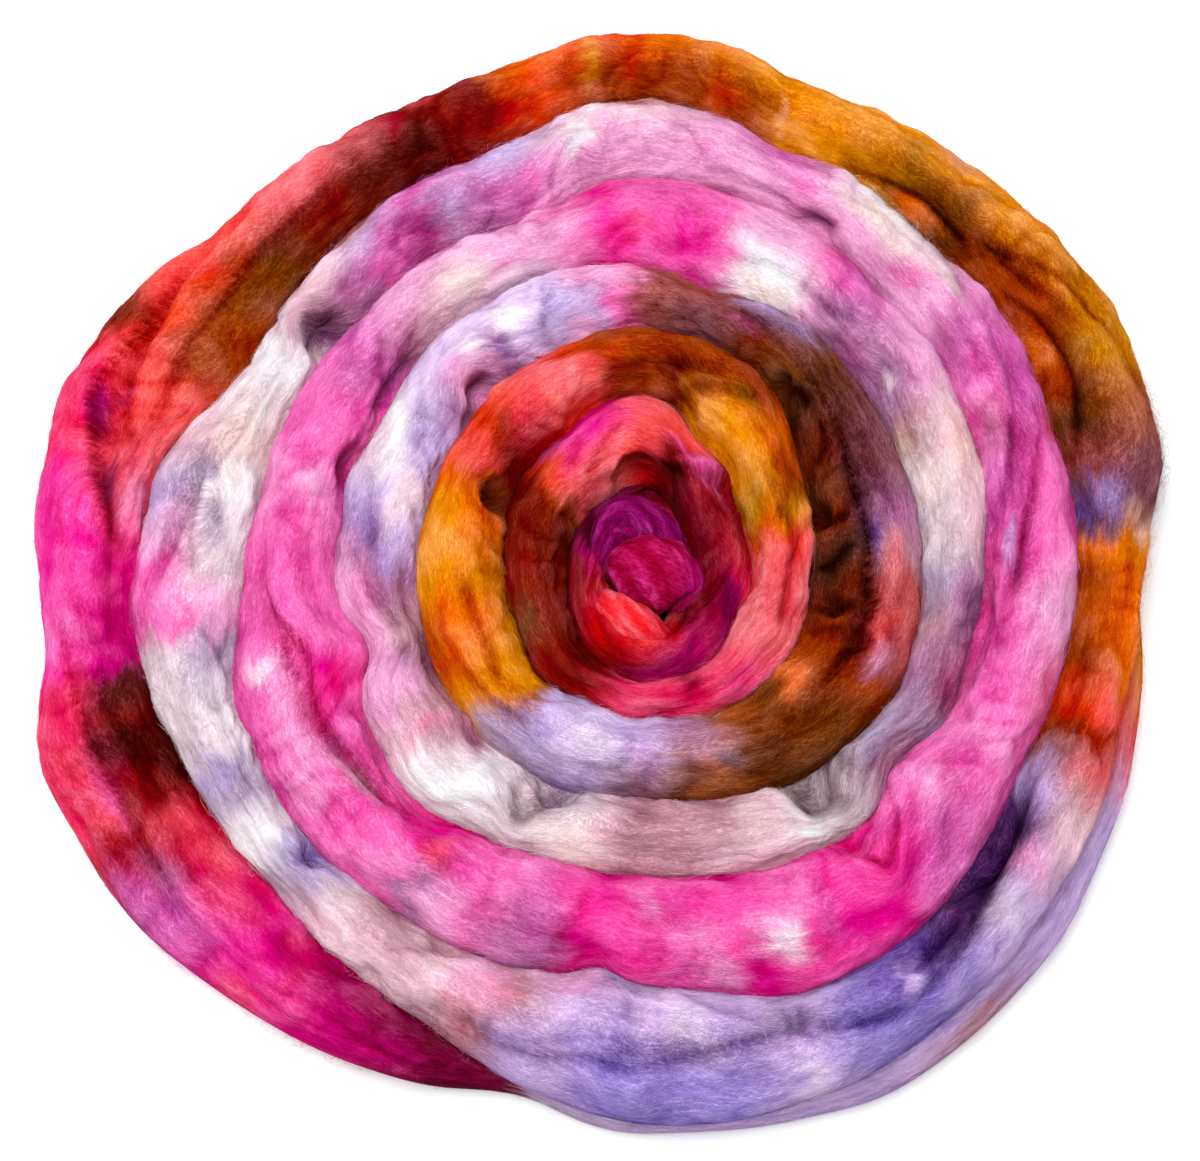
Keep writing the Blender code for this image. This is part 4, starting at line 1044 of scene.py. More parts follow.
        (11.2, 0.85, 8, 6, "salmon", 0.4), (11.05, 0.7, 5, 9, "rose", 0.4),
        (10.85, 0.45, 8, 14, "maroon", 0.5), (10.65, 0.62, 10, 8, "salmon", 0.9),
        (10.3, 0.55, 5, 9, "rust", 0.6), (10.1, 0.55, 12, 7, "orange_red", 0.6),
        (10.2, 0.22, 18, 8, "brown", 0.6), (9.75, 0.5, 10, 7, "coral", 0.9, 0.4),
        (9.95, 0.86, 12, 10, "red_brown", 0.95), (9.7, 0.5, 5, 4, "pink", 0.5, 0.6),
        (9.6, 0.6, 9, 5, "purple", 0.7, 0.8), (9.35, 0.32, 9, 5, "dusky_magenta", 0.7, 0.8),
        (9.3, 0.12, 12, 4, "light_pink", 0.5), (9.1, 0.7, 24, 14, "hot_pink", 0.5),
        (8.5, 0.3, 5, 16, "dark_red", 0.5), (8.38, 0.45, 9, 7, "maroon", 0.7),
        (8.2, 0.3, 9, 12, "dark_red", 0.8), (8.5, 0.62, 12, 4, "rose", 0.8), (8.2, 0.6, 14, 3.5, "pink", 0.6),
        (7.9, 0.88, 16, 5, "orchid", 0.6), (7.9, 0.58, 10, 6, "mauve", 0.6),
        (7.9, 0.25, 10, 9, "crimson", 0.5), (7.55, 0.55, 6, 14, "hot_pink", 0.4, 0.1),
        (7.45, 0.9, 10, 4, "salmon", 0.5), (7.35, 0.3, 8, 12, "rose", 0.4),
        (6.78, 0.4, 3.5, 14, "maroon", 0.5),
    ),
}
# A patch's dye falls off as this power of its squared distance. It is worked out this many turns to either
# side on the first turn, and ever fewer on the longer turns outside it.
PATCH_POWER = 1.4
PATCH_SPAN = 0.45
# The inner side's dye gives way to the outer one's from this share across, over this share.
BLEND_FROM, BLEND_OVER = 0.25, 0.5
# Painted highlight where the relief stands up and painted shade where it sinks: how much light is added, how
# much the colour is scaled, and the relief in mm that counts in full.
PAINTED_RELIEF_LIGHT = 0.10
PAINTED_RELIEF_SCALE = 0.08
RELIEF_OF_FULL_PAINTED_LIGHT = 2.4
# Pale wool gets less of this painted highlight and shade, down to this share of it for white.
PAINTED_RELIEF_SHARE_OF_WHITE = 0.4
# How much painted shade full depth, a fold's or a parting's line and a seam put on the dye, and the depth in
# mm that counts in full.
PAINTED_SHADE_OF_DEPTH, PAINTED_SHADE_OF_LINE, PAINTED_SHADE_OF_SEAM = 0.8, 1.0, 0.45
DEPTH_OF_FULL_SHADE = 12
# A seam's painted shade reaches up to this share of the strand's rise and fades as this power of what is
# left.
SEAM_SHADE_RISE = 0.6
SEAM_SHADE_POWER = 1.5
# Where there is painted shade the dye is raised to a power and its light cut, the cut counting at most so
# much shade.
PAINTED_SHADE_POWER = 0.55
PAINTED_SHADE_CUT = 0.30
DEEPEST_PAINTED_SHADE = 1.4
DARKEST, PALEST = 0.0012, 0.92


def light_of(name):
    """A dye as linear light: the display curve undone, channel by channel."""
    shown = np.array(DYES[name]) / 255
    return np.where(shown <= 0.04045, shown / 12.92, ((shown + 0.055) / 1.055) ** 2.4)


def dye_at(at, across):
    """The dye at places along and across: read from the table along the wool, then mixed from its inner side
    to its outer one by a smooth step."""
    rows = of_turns(DYED)
    places = [along(row[0], row[1]) for row in rows]
    inner = np.array([light_of(row[2]) for row in rows])
    outer = np.array([light_of(row[-1]) for row in rows])
    share = fade((across - BLEND_FROM) / BLEND_OVER)
    channels = [
        np.interp(at, places, inner[:, k]) * (1 - share) + np.interp(at, places, outer[:, k]) * share
        for k in range(3)
    ]
    return np.stack(channels, -1)


def patched(colour, at, across, width, circle):
    """The dye with the patches laid over it, each on top of those before it. A patch is full in its middle
    and falls off at its rim: e to the minus power of the squared distance."""
    for turn, hour, side, half_long, half_wide, dye, share, *lean in of_turns(PATCHES):
        window = along(turn, hour) + np.array([-PATCH_SPAN, PATCH_SPAN]) / turn
        rows = slice(*np.searchsorted(at[:, 0], window))
        place = (turn, hour, side, half_long, half_wide)
        away = near(at[rows], across[rows], width[rows], circle[rows], place, *lean)
        cover = (share * np.exp(-(away**PATCH_POWER)))[..., None]
        colour[rows] = colour[rows] * (1 - cover) + light_of(dye) * cover
    return colour


def strand_dye_and_shading(strand):
    """The colour of every point of the strand. The dye has run along the fibres: the place where it is read
    is shifted by noise that is fine across the strand and long along it. Painted highlight makes the wool
    paler where its relief stands up and painted shade makes it darker where the relief sinks, pale wool less
    so than deep-dyed wool. Painted shade darkens it where it is pressed in, along a fold's line or a parting
    and near a
    seam: the colour is raised to a power and cut, as light coming back from the wool beside it would leave
    it, and not greyed."""
    run = strand["run"][:, None]
    side = strand["side"]
    at = strand["at"][:, None]
    width = np.maximum(outer_edge(at) - outer_edge(at - 1), LEAST_WIDTH)
    circle = 2 * np.pi * np.maximum(outer_edge(at) - 0.5 * width, LEAST_REACH)
    moved = at + waves(run, side, DYE_RUN) / circle
    aside = np.clip(strand["across"] + waves(run, side, DYE_SLIP) / width, 0, 1)
    colour = patched(dye_at(moved, aside), moved, aside, width, circle)
    # Painted shade: near the seams at the foot of each flank, in pressed pockets and grooves, and along fold
    # lines and partings.
    seam = np.clip(1 - strand["rise"] / SEAM_SHADE_RISE, 0, 1) ** SEAM_SHADE_POWER
    deep = PAINTED_SHADE_OF_DEPTH * np.clip(strand["depth"] / DEPTH_OF_FULL_SHADE, 0, 1) + PAINTED_SHADE_OF_LINE * strand["line_shade"]
    deep += PAINTED_SHADE_OF_SEAM * seam
    # Painted highlight on raised relief and painted shade on sunk relief.
    relief_shading = np.clip(strand["relief"] / RELIEF_OF_FULL_PAINTED_LIGHT, -1, 1)[..., None]
    most = colour.max(axis=-1, keepdims=True)
    strong = 1 - (1 - PAINTED_RELIEF_SHARE_OF_WHITE) * colour.min(axis=-1, keepdims=True) / np.maximum(most, 0.01)
    streak = 1 + waves(run, side, DYE_STREAKS)
    colour = colour * (streak[..., None] + PAINTED_RELIEF_SCALE * relief_shading) + PAINTED_RELIEF_LIGHT * relief_shading * strong * most
    power = 1 + PAINTED_SHADE_POWER * deep
    cut = 1 - PAINTED_SHADE_CUT * np.clip(deep, 0, DEEPEST_PAINTED_SHADE)
    return np.clip(colour, DARKEST, PALEST) ** power[..., None] * cut[..., None]


# -----------------------------------------------------------------------------------------------------------
# Meshes.


def wool_piece(name, points, faces, colour, laid, normals=None):
    """A piece of wool from points in mm round the eye: it gets its dye and its place along and across the
    fibres, rides on the coil and stands for the plain solid."""
    mesh = bpy.data.meshes.new(name)
    shifted = points + np.array([EYE[0], EYE[1], 0.0])
    mesh.vertices.add(len(shifted))
    mesh.vertices.foreach_set("co", (shifted * METRES_PER_MM).astype(np.float32).ravel())
    corners = np.concatenate([block.ravel() for block in faces])
    sizes = np.concatenate([np.full(len(block), block.shape[1]) for block in faces])
    starts = np.concatenate([[0], np.cumsum(sizes)[:-1]])
    mesh.loops.add(len(corners))
    mesh.loops.foreach_set("vertex_index", corners.astype(np.int32))
    mesh.polygons.add(len(sizes))
    mesh.polygons.foreach_set("loop_start", starts.astype(np.int32))
    mesh.polygons.foreach_set("use_smooth", np.ones(len(sizes), bool))
    # The dye attribute holds the dye with the painted shade and highlight worked into it.
    tint = mesh.attributes.new("dye", "FLOAT_COLOR", "POINT")
    tint.data.foreach_set("color", np.column_stack([colour, np.ones(len(colour))]).astype(np.float32).ravel())
    lay = mesh.attributes.new("lay", "FLOAT_VECTOR", "POINT")
    lay.data.foreach_set("vector", (laid * METRES_PER_MM).astype(np.float32).ravel())
    mesh.update(calc_edges=True)
    mesh.validate()
    if normals is not None:
        mesh.normals_split_custom_set_from_vertices(normals.tolist())
    piece = bpy.data.objects.new(name, mesh)
    bpy.context.scene.collection.objects.link(piece)
    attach(piece, "root")
    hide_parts("roving")
    return piece


def tube_faces(count, around):
    """Four-sided faces between so many rows of points, each closed round, and a flat cap at each end."""
    ids = np.arange(count * around).reshape(count, around)
    over = np.roll(ids, -1, axis=1)
    quads = np.stack([ids[:-1], over[:-1], over[1:], ids[1:]], -1).reshape(-1, 4)
    return quads, np.stack([ids[0, ::-1], ids[-1]])


def strand_piece(name, strand, colour, first, last, material):
    """The strand from one row of points to another, with a flat cap at each end."""
    rows = slice(first, last + 1)
    points, normals = strand["points"][rows], strand["normals"][rows]
    laid = np.stack(np.broadcast_arrays(strand["run"][rows, None], strand["side"][rows], 0.0), -1)
    faces = tube_faces(*points.shape[:2])
    flat = [block.reshape(-1, 3) for block in (points, colour[rows], laid, normals)]
    piece = wool_piece(name, flat[0], faces, *flat[1:])
    piece.data.materials.append(material)


# -----------------------------------------------------------------------------------------------------------
# Materials.

# Threads of fibre, set by set: how long and wide their noise is in mm, how far askew of the strand in
# degrees, how much it twists, and how much the set counts.
THREADS = (
    # long wide askew twist share
    (9, 0.65, 0, 0.8, 1.0),
    (7, 0.75, 24, 0.8, 0.7),
    (6, 0.75, -32, 0.8, 0.6),
    (4, 1.0, 70, 1.2, 0.4),
)
THREAD_HALF = 0.12
# What few and many threads at a point do: the power of the dye and how much light it gives.
FEW_THREADS, MANY_THREADS = 0.2, 1.8
POWER_OF_FEW, POWER_OF_MANY = 1.20, 0.82
LIGHT_OF_FEW, LIGHT_OF_MANY = 0.90, 1.13
LIGHT_OF_LOCKS = 0.06


def dyed_material(name, roughness):
    """A matt material, with its colour read from the piece's dye attribute, which holds the dye with painted
    shade and highlight in it: gives it, its shader, and that colour.
    """
    material = bpy.data.materials.new(name)
    material.use_nodes = True
    nodes = material.node_tree.nodes
    shader = nodes["Principled BSDF"]
    shader.inputs["Roughness"].default_value = roughness
    shader.inputs["Specular IOR Level"].default_value = 0.01
    dye = nodes.new("ShaderNodeAttribute")
    dye.attribute_name = "dye"
    return material, shader, dye.outputs["Color"]


def wool_material():
    """Matt combed wool. The dye comes from the piece. Threads of fibre lie along the strand and, fewer, askew
    to both sides of it: each set is the lines where a drawn-out noise crosses its middle. Between them the
    dye is raised to a power, so it is deeper there and not greyer, and they stand up from it. A broad noise
    lightens and sinks whole locks."""
    material, shader, dye = dyed_material("combed_wool", 0.95)
    nodes = material.node_tree.nodes
    links = material.node_tree.links
    shader.inputs["Subsurface Weight"].default_value = 0.12
    shader.inputs["Subsurface Radius"].default_value = (1.0, 0.7, 0.6)
    shader.inputs["Subsurface Scale"].default_value = 0.002
    lay = nodes.new("ShaderNodeAttribute")
    lay.attribute_name = "lay"

    def drawn_noise(along_mm, across_mm, askew, detail, twist):
        mapping = nodes.new("ShaderNodeMapping")
        mapping.vector_type = "TEXTURE"
        mapping.inputs["Rotation"].default_value = (0, 0, np.radians(askew))
        mapping.inputs["Scale"].default_value = (along_mm * METRES_PER_MM, across_mm * METRES_PER_MM, 1)
        links.new(lay.outputs["Vector"], mapping.inputs["Vector"])
        noise = nodes.new("ShaderNodeTexNoise")
        noise.noise_dimensions = "2D"
        settings = {"Scale": 1.0, "Detail": detail, "Roughness": 0.55, "Distortion": twist}
        for setting, value in settings.items():
            noise.inputs[setting].default_value = value
        links.new(mapping.outputs["Vector"], noise.inputs["Vector"])
        return noise.outputs["Fac"]

    def ranged(source, *limits):
        node = nodes.new("ShaderNodeMapRange")
        for limit, value in zip(("From Min", "From Max", "To Min", "To Max"), limits):
            node.inputs[limit].default_value = value
        links.new(source, node.inputs["Value"])
        return node.outputs["Result"]

    def maths(operation, first, second):
        node = nodes.new("ShaderNodeMath")
        node.operation = operation
        for slot, value in zip(node.inputs, (first, second)):
            if isinstance(value, float):
                slot.default_value = value
            else:
                links.new(value, slot)
        return node.outputs["Value"]

    def threads(along_mm, across_mm, askew, twist, share):
        noise = drawn_noise(along_mm, across_mm, askew, 1.0, twist)
        off = maths("ABSOLUTE", maths("SUBTRACT", noise, 0.5), 0.0)
        return ranged(off, 0.0, THREAD_HALF, share, 0.0)

    fibres = threads(*THREADS[0])
    for row in THREADS[1:]:
        fibres = maths("ADD", fibres, threads(*row))
    locks = drawn_noise(30, 2.6, 0, 2.0, 0.4)

    deepened = nodes.new("ShaderNodeGamma")
    links.new(dye, deepened.inputs["Color"])
    power = ranged(fibres, FEW_THREADS, MANY_THREADS, POWER_OF_FEW, POWER_OF_MANY)
    links.new(power, deepened.inputs["Gamma"])
    of_threads = ranged(fibres, FEW_THREADS, MANY_THREADS, LIGHT_OF_FEW, LIGHT_OF_MANY)
    of_locks = ranged(locks, 0.3, 0.7, -LIGHT_OF_LOCKS, LIGHT_OF_LOCKS)
    lightened = nodes.new("ShaderNodeVectorMath")
    lightened.operation = "SCALE"
    links.new(deepened.outputs["Color"], lightened.inputs[0])
    links.new(maths("ADD", of_threads, of_locks), lightened.inputs["Scale"])
    links.new(lightened.outputs["Vector"], shader.inputs["Base Color"])

    bump = nodes.new("ShaderNodeBump")
    bump.inputs["Strength"].default_value = 0.7
    bump.inputs["Distance"].default_value = 0.0005
    links.new(maths("ADD", fibres, maths("MULTIPLY", locks, 1.5)), bump.inputs["Height"])
    links.new(bump.outputs["Normal"], shader.inputs["Normal"])
    return material


def fibre_material():
    """Single fibres: matt, and of the piece's dye."""
    material, shader, dye = dyed_material("loose_fibre", 0.8)
    material.node_tree.links.new(dye, shader.inputs["Base Color"])
    return material


# -----------------------------------------------------------------------------------------------------------
# Lobes: folds and curls of the wool that stand out of the wound strand.

# Each lobe: its middle line in mm from the eye, its half width and half height, and its dye.
LOBES = {
    "curl_floor": (
        # x    y    z   wide high dye
        (-17, 2, 20, 14, 8, "wine"),
        (-6, 7, 21, 30, 9, "wine"),
        (6, 6, 21, 31, 9, "dark_crimson"),
        (17, -2, 20, 14, 8, "dark_crimson"),
    ),
    "curl_arch": (
        (12, 2, 25, 4.0, 5.0, "wine"),
        (9.5, 10, 30, 5.0, 5.5, "plum"),
        (4.5, 16.5, 32, 7.0, 6.5, "plum"),
        (-3, 21.5, 34, 7.0, 7.0, "plum"),
        (-9, 23.0, 34, 7.0, 7.0, "plum"),
        (-14, 19, 32, 6.5, 6.5, "plum"),
        (-16, 12, 31, 6.0, 6.0, "plum"),
        (-17.5, 4, 29, 5.5, 6.0, "wine"),
        (-19, -3, 25, 4.0, 5.0, "garnet"),
    ),
    "curl_loop": (
        (-14, 8, 27, 3.0, 4.0, "plum"),
        (-16, 13, 31, 4.0, 4.5, "plum"),
        (-12, 18, 32.5, 5.0, 4.8, "plum"),
        (-7, 18.5, 33, 5.0, 4.8, "deep_magenta"),
        (-3.5, 15, 33, 4.5, 4.5, "plum"),
        (-4, 10, 31, 3.0, 4.0, "plum"),
    ),
    "curl_ball": (
        (-16, 4, 28, 6.0, 6.0, "wine"),
        (-9, 3, 31, 11.0, 9.0, "raspberry"),
        (-1, 1, 33, 14.0, 11.0, "raspberry"),
        (7, -2, 32, 14.0, 10.5, "raspberry"),
        (13, -6, 29, 10.0, 8.0, "deep_magenta"),
        (11, -14, 27, 5.5, 6.0, "dark_crimson"),
        (6, -18, 24, 3.0, 4.0, "garnet"),
    ),
    "curl_tail": (
        (-21, -4, 26, 3.0, 4.0, "garnet"),
        (-18.5, -9.5, 30, 5.5, 6.0, "crimson"),
        (-12, -15, 32, 7.5, 7.0, "flame"),
        (-4, -20.5, 32.5, 7.5, 7.0, "flame"),
        (4.5, -25, 30, 5.5, 6.5, "crimson"),
        (12, -24, 26, 4.0, 5.0, "dark_crimson"),
        (18, -19, 24, 3.0, 4.0, "dark_crimson"),
    ),
    "curl_side": (
        (-21, 10, 26, 3.0, 4.5, "wine"),
        (-21.5, 3, 31, 4.2, 5.5, "raspberry"),
        (-21.5, -4, 32, 4.8, 6.0, "garnet"),
        (-20, -11, 31, 4.8, 6.0, "crimson"),
        (-16, -17, 28, 3.5, 5.0, "flame"),
    ),
}
LOBE_STEPS = 80
LOBE_AROUND = 48
LOBE_SEED = 50
# Length in mm of a lobe's lumps and curls, how far it swells with them, and how much painted shading lightens
# its lumps and curls and darkens the hollows between them and its underside.
LUMP_LONG, CURL_LONG = 7, 3
LUMP_SWELL, CURL_SWELL = 0.09, 0.07
LUMP_SHADING, CURL_SHADING, UNDER_SHADE = 0.5, 0.6, 0.5


def lobe(name, rows, material, seed):
    """One lobe: an oval carried along a smooth line and closed to a point at both ends, where its size falls
    off as the root of what is left of one less the sixth power of the way from its middle. Lumps and curls of
    noise raise and sink it. Its surface is given back for the loose fibres."""
    line = smooth_path([row[:5] for row in rows], LOBE_STEPS)
    tint = smooth_path([light_of(row[5]) for row in rows], LOBE_STEPS)
    part = np.linspace(0, 1, LOBE_STEPS)
    ends = np.clip(1 - (2 * part - 1) ** 6, 0.0004, 1) ** 0.5
    middle = line[:, :3]
    on = np.gradient(middle, axis=0)
    on /= np.linalg.norm(on, axis=1, keepdims=True)
    aside = np.cross(np.array([0.0, 0.0, 1.0]), on)
    aside /= np.linalg.norm(aside, axis=1, keepdims=True)
    above = np.cross(on, aside)
    turned = np.linspace(-0.5 * np.pi, 1.5 * np.pi, LOBE_AROUND + 1)[None, :-1]
    run = np.concatenate([[0], np.cumsum(np.linalg.norm(np.diff(middle, axis=0), axis=1))])[:, None]
    lumps = soft_noise(run / LUMP_LONG + 2 * np.cos(turned), 2 * np.sin(turned) + seed, seed)
    curled = soft_noise(run / CURL_LONG + 4 * np.cos(turned), 4 * np.sin(turned) + seed, seed + 1)
    curls = np.abs(curled) ** 0.7 - 0.4
    swell = 1 + LUMP_SWELL * lumps + CURL_SWELL * curls
    wide = (line[:, 3] * ends)[:, None] * swell
    high = (line[:, 4] * ends)[:, None] * swell
    points = (
        middle[:, None]
        + aside[:, None] * (wide * np.cos(turned))[..., None]
        + above[:, None] * (high * np.sin(turned))[..., None]
    )
    quads, caps = tube_faces(LOBE_STEPS, LOBE_AROUND)
    # A lobe's points run round it the other way from the strand's, so its faces are turned over.
    turned_over = [np.roll(quads[:, ::-1], 1, axis=1), caps[:, ::-1]]
    # Painted shading: paler on lumps and curls, darker in the hollows between them, and painted shade on the
    # underside.
    deepened = 1 - LUMP_SHADING * lumps - CURL_SHADING * curls + UNDER_SHADE * np.clip(-np.sin(turned), 0, 1)
    colour = np.clip(tint, 0.002, 0.98)[:, None] ** np.clip(deepened, 0.6, 1.6)[..., None]
    laid = np.stack(np.broadcast_arrays(run, 9 * turned, 0 * turned), -1)
    piece = wool_piece(name, points.reshape(-1, 3), turned_over, colour.reshape(-1, 3), laid.reshape(-1, 3))
    piece.data.materials.append(material)
    spread = np.pi * (line[:, 3] + line[:, 4]).mean() / LOBE_AROUND
    return points, -normals_of(points), colour, run[-1, 0] / LOBE_STEPS, spread


# -----------------------------------------------------------------------------------------------------------
# Loose fibres.

# Each piece of them: how many lie on the strand, the shortest and longest in mm, how far off it they stand,
# how far astray of its fibres they point in radians, their half thickness, and the seed.
LOOSE = {
    # name: count length lift astray half seed
    "wisps_1": (12000, (5, 13), (0.1, 0.6), 0.35, 0.055, 31),
    "wisps_2": (11000, (4, 10), (0.1, 0.7), 0.8, 0.05, 32),
    "fuzz": (11000, (6, 18), (0.3, 2.0), 0.4, 0.03, 33),
    "frizz": (2600, (4, 9), (1.0, 4.5), 1.2, 0.03, 34),
}
# Where the wool has frizzed most: from and to which hour, between which shares across, and how many fibres.
FRIZZ = (
    # turn from to across count
    (1, 11.9, 1.0, (0.50, 1.0), 250),
    (3, 3.8, 1.2, (0.05, 0.5), 250),
    (5, 1.5, 12.9, (0.40, 0.7), 150),
    (6, 3.0, 2.2, (0.55, 0.95), 450),
    (6, 7.2, 6.4, (0.60, 0.95), 150),
    (7, 9.8, 8.6, (0.70, 1.0), 150),
    (7, 7.8, 7.0, (0.75, 1.0), 200),
)
BALL_FRIZZ = 500
LOBE_FIBRES = 450
FIBRE_STEPS = 4
WHOLE = (0, 1)
BREADTH = (0.03, 0.97)
# Spread of a fibre's bend in radians, and how far it always keeps off the wool and the table.
BEND = 1.1
LEAST_OFF, LEAST_HIGH = 0.05, 0.2
# From least to most: the power of the dye under a fibre, its light, and its thickness.
FIBRE_POWER, FIBRE_LIGHT, FIBRE_THICK = (0.74, 1.15), (0.92, 1.35), (0.7, 1.3)


def spindles(paths, half):
    """A thin closed spindle of three sides along every path: paths is fibres by steps by 3, and half is each
    one's half thickness in the middle. It comes to a point at both ends."""
    fibres, steps, _ = paths.shape
    on = np.gradient(paths, axis=1)
    on /= np.maximum(np.linalg.norm(on, axis=-1, keepdims=True), 1e-9)
    aside = np.cross(on, np.array([0.31, 0.47, 0.83]))
    aside /= np.maximum(np.linalg.norm(aside, axis=-1, keepdims=True), 1e-9)
    above = np.cross(on, aside)
    inside = slice(1, steps - 1)
    turned = np.array([0, 2, 4]) * np.pi / 3
    ring = (
        aside[:, inside, None] * np.cos(turned)[None, None, :, None]
        + above[:, inside, None] * np.sin(turned)[None, None, :, None]
    )
    middle = paths[:, inside, None] + ring * half[:, None, None, None]
    each = 3 * (steps - 2) + 2
    points = np.concatenate([paths[:, :1], middle.reshape(fibres, -1, 3), paths[:, -1:]], axis=1)
    rings = 1 + np.arange(3 * (steps - 2)).reshape(steps - 2, 3)
    nexts = np.roll(rings, -1, axis=1)
    first = np.stack([np.zeros(3, int), nexts[0], rings[0]], -1)
    last = np.stack([np.full(3, each - 1), rings[-1], nexts[-1]], -1)
    sides = np.stack([rings[:-1], nexts[:-1], nexts[1:], rings[1:]], -1).reshape(-1, 4)
    shift = (np.arange(fibres) * each)[:, None, None]
    tips = (np.concatenate([first, last])[None] + shift).reshape(-1, 3)
    quads = (sides[None] + shift).reshape(-1, 4)
    return points.reshape(-1, 3), [tips, quads]


def on_surface(field, row, column):
    """A field of a surface read between its points: the four nearest mixed by how near they are."""
    row = np.clip(row, 0, field.shape[0] - 1.001)
    column = np.clip(column, 0, field.shape[1] - 1.001)
    i = row.astype(int)
    j = column.astype(int)
    a = (row - i)[..., None]
    b = (column - j)[..., None]
    return (
        field[i, j] * (1 - a) * (1 - b)
        + field[i + 1, j] * a * (1 - b)
        + field[i, j + 1] * (1 - a) * b
        + field[i + 1, j + 1] * a * b
    )


def loose_fibres(name, surfaces, length, lift, astray, half, seed, material):
    """Single fibres and thin wisps of them that have worked loose. Each starts at a random place between two
    shares of the length and two of the breadth of a surface, lies more or less astray of its fibres, bends a
    little, and stands off it by the sine of its way along, or ever more where its end is free. It has the dye
    of the wool under it, a little lighter or darker."""
    chance = np.random.default_rng(seed)
    part = np.linspace(0, 1, FIBRE_STEPS)[None, :]
    ways = []
    tints = []
    for (points, normals, colour, step, spread), count, rows, columns in surfaces:
        row = (len(points) - 1) * chance.uniform(*rows, count)[:, None]
        column = (points.shape[1] - 1) * chance.uniform(*columns, count)[:, None]
        long = chance.uniform(*length, count)[:, None]
        heading = chance.normal(0, astray, count)[:, None]
        heading = heading + np.pi * (chance.uniform(0, 1, count)[:, None] < 0.5)
        turned = heading + chance.normal(0, BEND, count)[:, None] * part
        place = row + long * part * np.cos(turned) / step
        side = column + long * part * np.sin(turned) / spread
        free = chance.uniform(0, 1, count)[:, None] < 0.5
        stand = chance.uniform(*lift, count)[:, None]
        off = np.where(free, part**1.5, np.sin(np.pi * part)) * stand + LEAST_OFF
        paths = on_surface(points, place, side) + on_surface(normals, place, side) * off[..., None]
        paths[..., 2] = np.maximum(paths[..., 2], LEAST_HIGH)
        ways.append(paths)
        shade = on_surface(colour, place, side) ** chance.uniform(*FIBRE_POWER, (count, 1, 1))
        tints.append(np.clip(shade * chance.uniform(*FIBRE_LIGHT, (count, 1, 1)), 0.001, 0.9))
    paths = np.concatenate(ways)
    tints = np.concatenate(tints)
    made, faces = spindles(paths, half * chance.uniform(*FIBRE_THICK, len(paths)))
    tint = np.concatenate([tints[:, :1], np.repeat(tints[:, 1:-1], 3, axis=1), tints[:, -1:]], axis=1)
    piece = wool_piece(name, made, faces, tint.reshape(-1, 3), np.zeros((len(made), 3)))
    piece.data.materials.append(material)


# -----------------------------------------------------------------------------------------------------------
# Stage.

CAMERA_AT = (-0.00173, -0.23218, 0.58261)
CAMERA_ELEVATION = 70.0
LENS = 47.7
TABLE_COLOUR = (0.86, 0.86, 0.87, 1)
SURROUND_LIGHT = 0.64
LAMP_WATTS = 27
LAMP_ACROSS = 1.2
LAMP_AT = (-0.30, 0.10, 1.5)


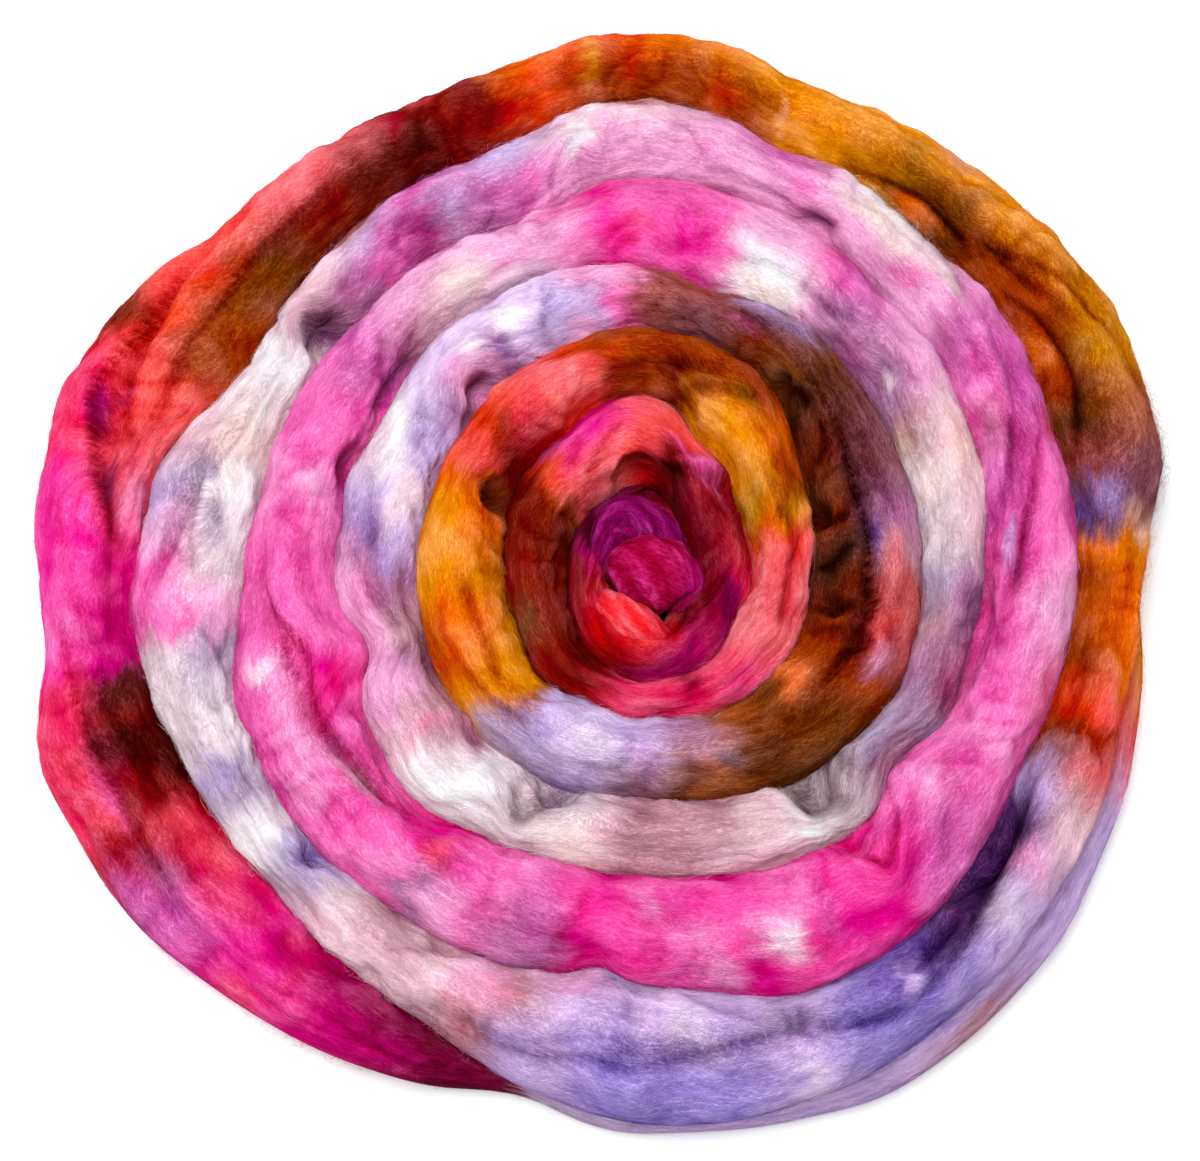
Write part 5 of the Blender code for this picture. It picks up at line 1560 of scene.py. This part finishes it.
def stage():
    """A plain pale table, a big soft light above and a pale surround."""
    bpy.ops.mesh.primitive_plane_add(size=6, location=(0, 0, 0))
    floor = bpy.context.object
    floor.name = "table_top"
    material = bpy.data.materials.new("pale_table")
    material.use_nodes = True
    shader = material.node_tree.nodes["Principled BSDF"]
    shader.inputs["Base Color"].default_value = TABLE_COLOUR
    shader.inputs["Roughness"].default_value = 0.6
    floor.data.materials.append(material)

    world = bpy.data.worlds.new("pale_surround")
    world.use_nodes = True
    background = world.node_tree.nodes["Background"]
    background.inputs["Color"].default_value = (1.0, 1.0, 1.0, 1)
    background.inputs["Strength"].default_value = SURROUND_LIGHT
    bpy.context.scene.world = world
    bpy.context.scene.view_settings.view_transform = "Standard"

    lamp = bpy.data.lights.new("soft_box", "AREA")
    lamp.shape = "DISK"
    lamp.size = LAMP_ACROSS
    lamp.energy = LAMP_WATTS
    light = bpy.data.objects.new("soft_box", lamp)
    light.location = LAMP_AT
    light.rotation_euler = (-Vector(LAMP_AT)).to_track_quat("-Z", "Y").to_euler()
    bpy.context.scene.collection.objects.link(light)


def camera():
    """The photograph's view: from the front and high above the coil."""
    data = bpy.data.cameras.new("camera")
    data.lens = LENS
    data.sensor_width = 36.0
    data.clip_start = 0.01
    view = bpy.data.objects.new("camera", data)
    view.location = CAMERA_AT
    view.rotation_euler = (np.radians(90 - CAMERA_ELEVATION), 0, 0)
    bpy.context.scene.collection.objects.link(view)
    bpy.context.scene.camera = view


# -----------------------------------------------------------------------------------------------------------
# The scene.

# Places along the wool where one piece of the strand ends and the next one starts.
STARTS = (0, 4, 5, 6, 6.75)

stage()
camera()
strand = strand_surface()
colour = strand_dye_and_shading(strand)
wool = wool_material()
fibre = fibre_material()
for number, ends in enumerate(zip(STARTS, STARTS[1:]), 1):
    first, last = np.searchsorted(strand["at"], ends)
    strand_piece(f"strand_{number}", strand, colour, int(first), min(int(last), len(strand["at"]) - 1), wool)
lobes = {name: lobe(name, rows, wool, seed) for seed, (name, rows) in enumerate(LOBES.items(), LOBE_SEED)}

crown = slice(0, CROWN_COLUMNS)
crown_fields = (strand["points"][:, crown], strand["normals"][:, crown], colour[:, crown])
top = (*crown_fields, SECTION_STEP, ACROSS_MM / CROWN_COLUMNS)
more = {name: [] for name in LOOSE}
for name, made in lobes.items():
    if name != "curl_floor":
        more["wisps_2"].append((made, LOBE_FIBRES, WHOLE, BREADTH))
more["frizz"] = [(lobes["curl_ball"], BALL_FRIZZ, WHOLE, BREADTH)]
for turn, start, end, columns, count in FRIZZ:
    rows = np.searchsorted(strand["at"], (along(turn, start), along(turn, end))) / len(strand["at"])
    more["frizz"].append((top, count, rows, columns))
for name, (count, *settings) in LOOSE.items():
    loose_fibres(name, [(top, count, WHOLE, BREADTH)] + more[name], *settings, fibre)
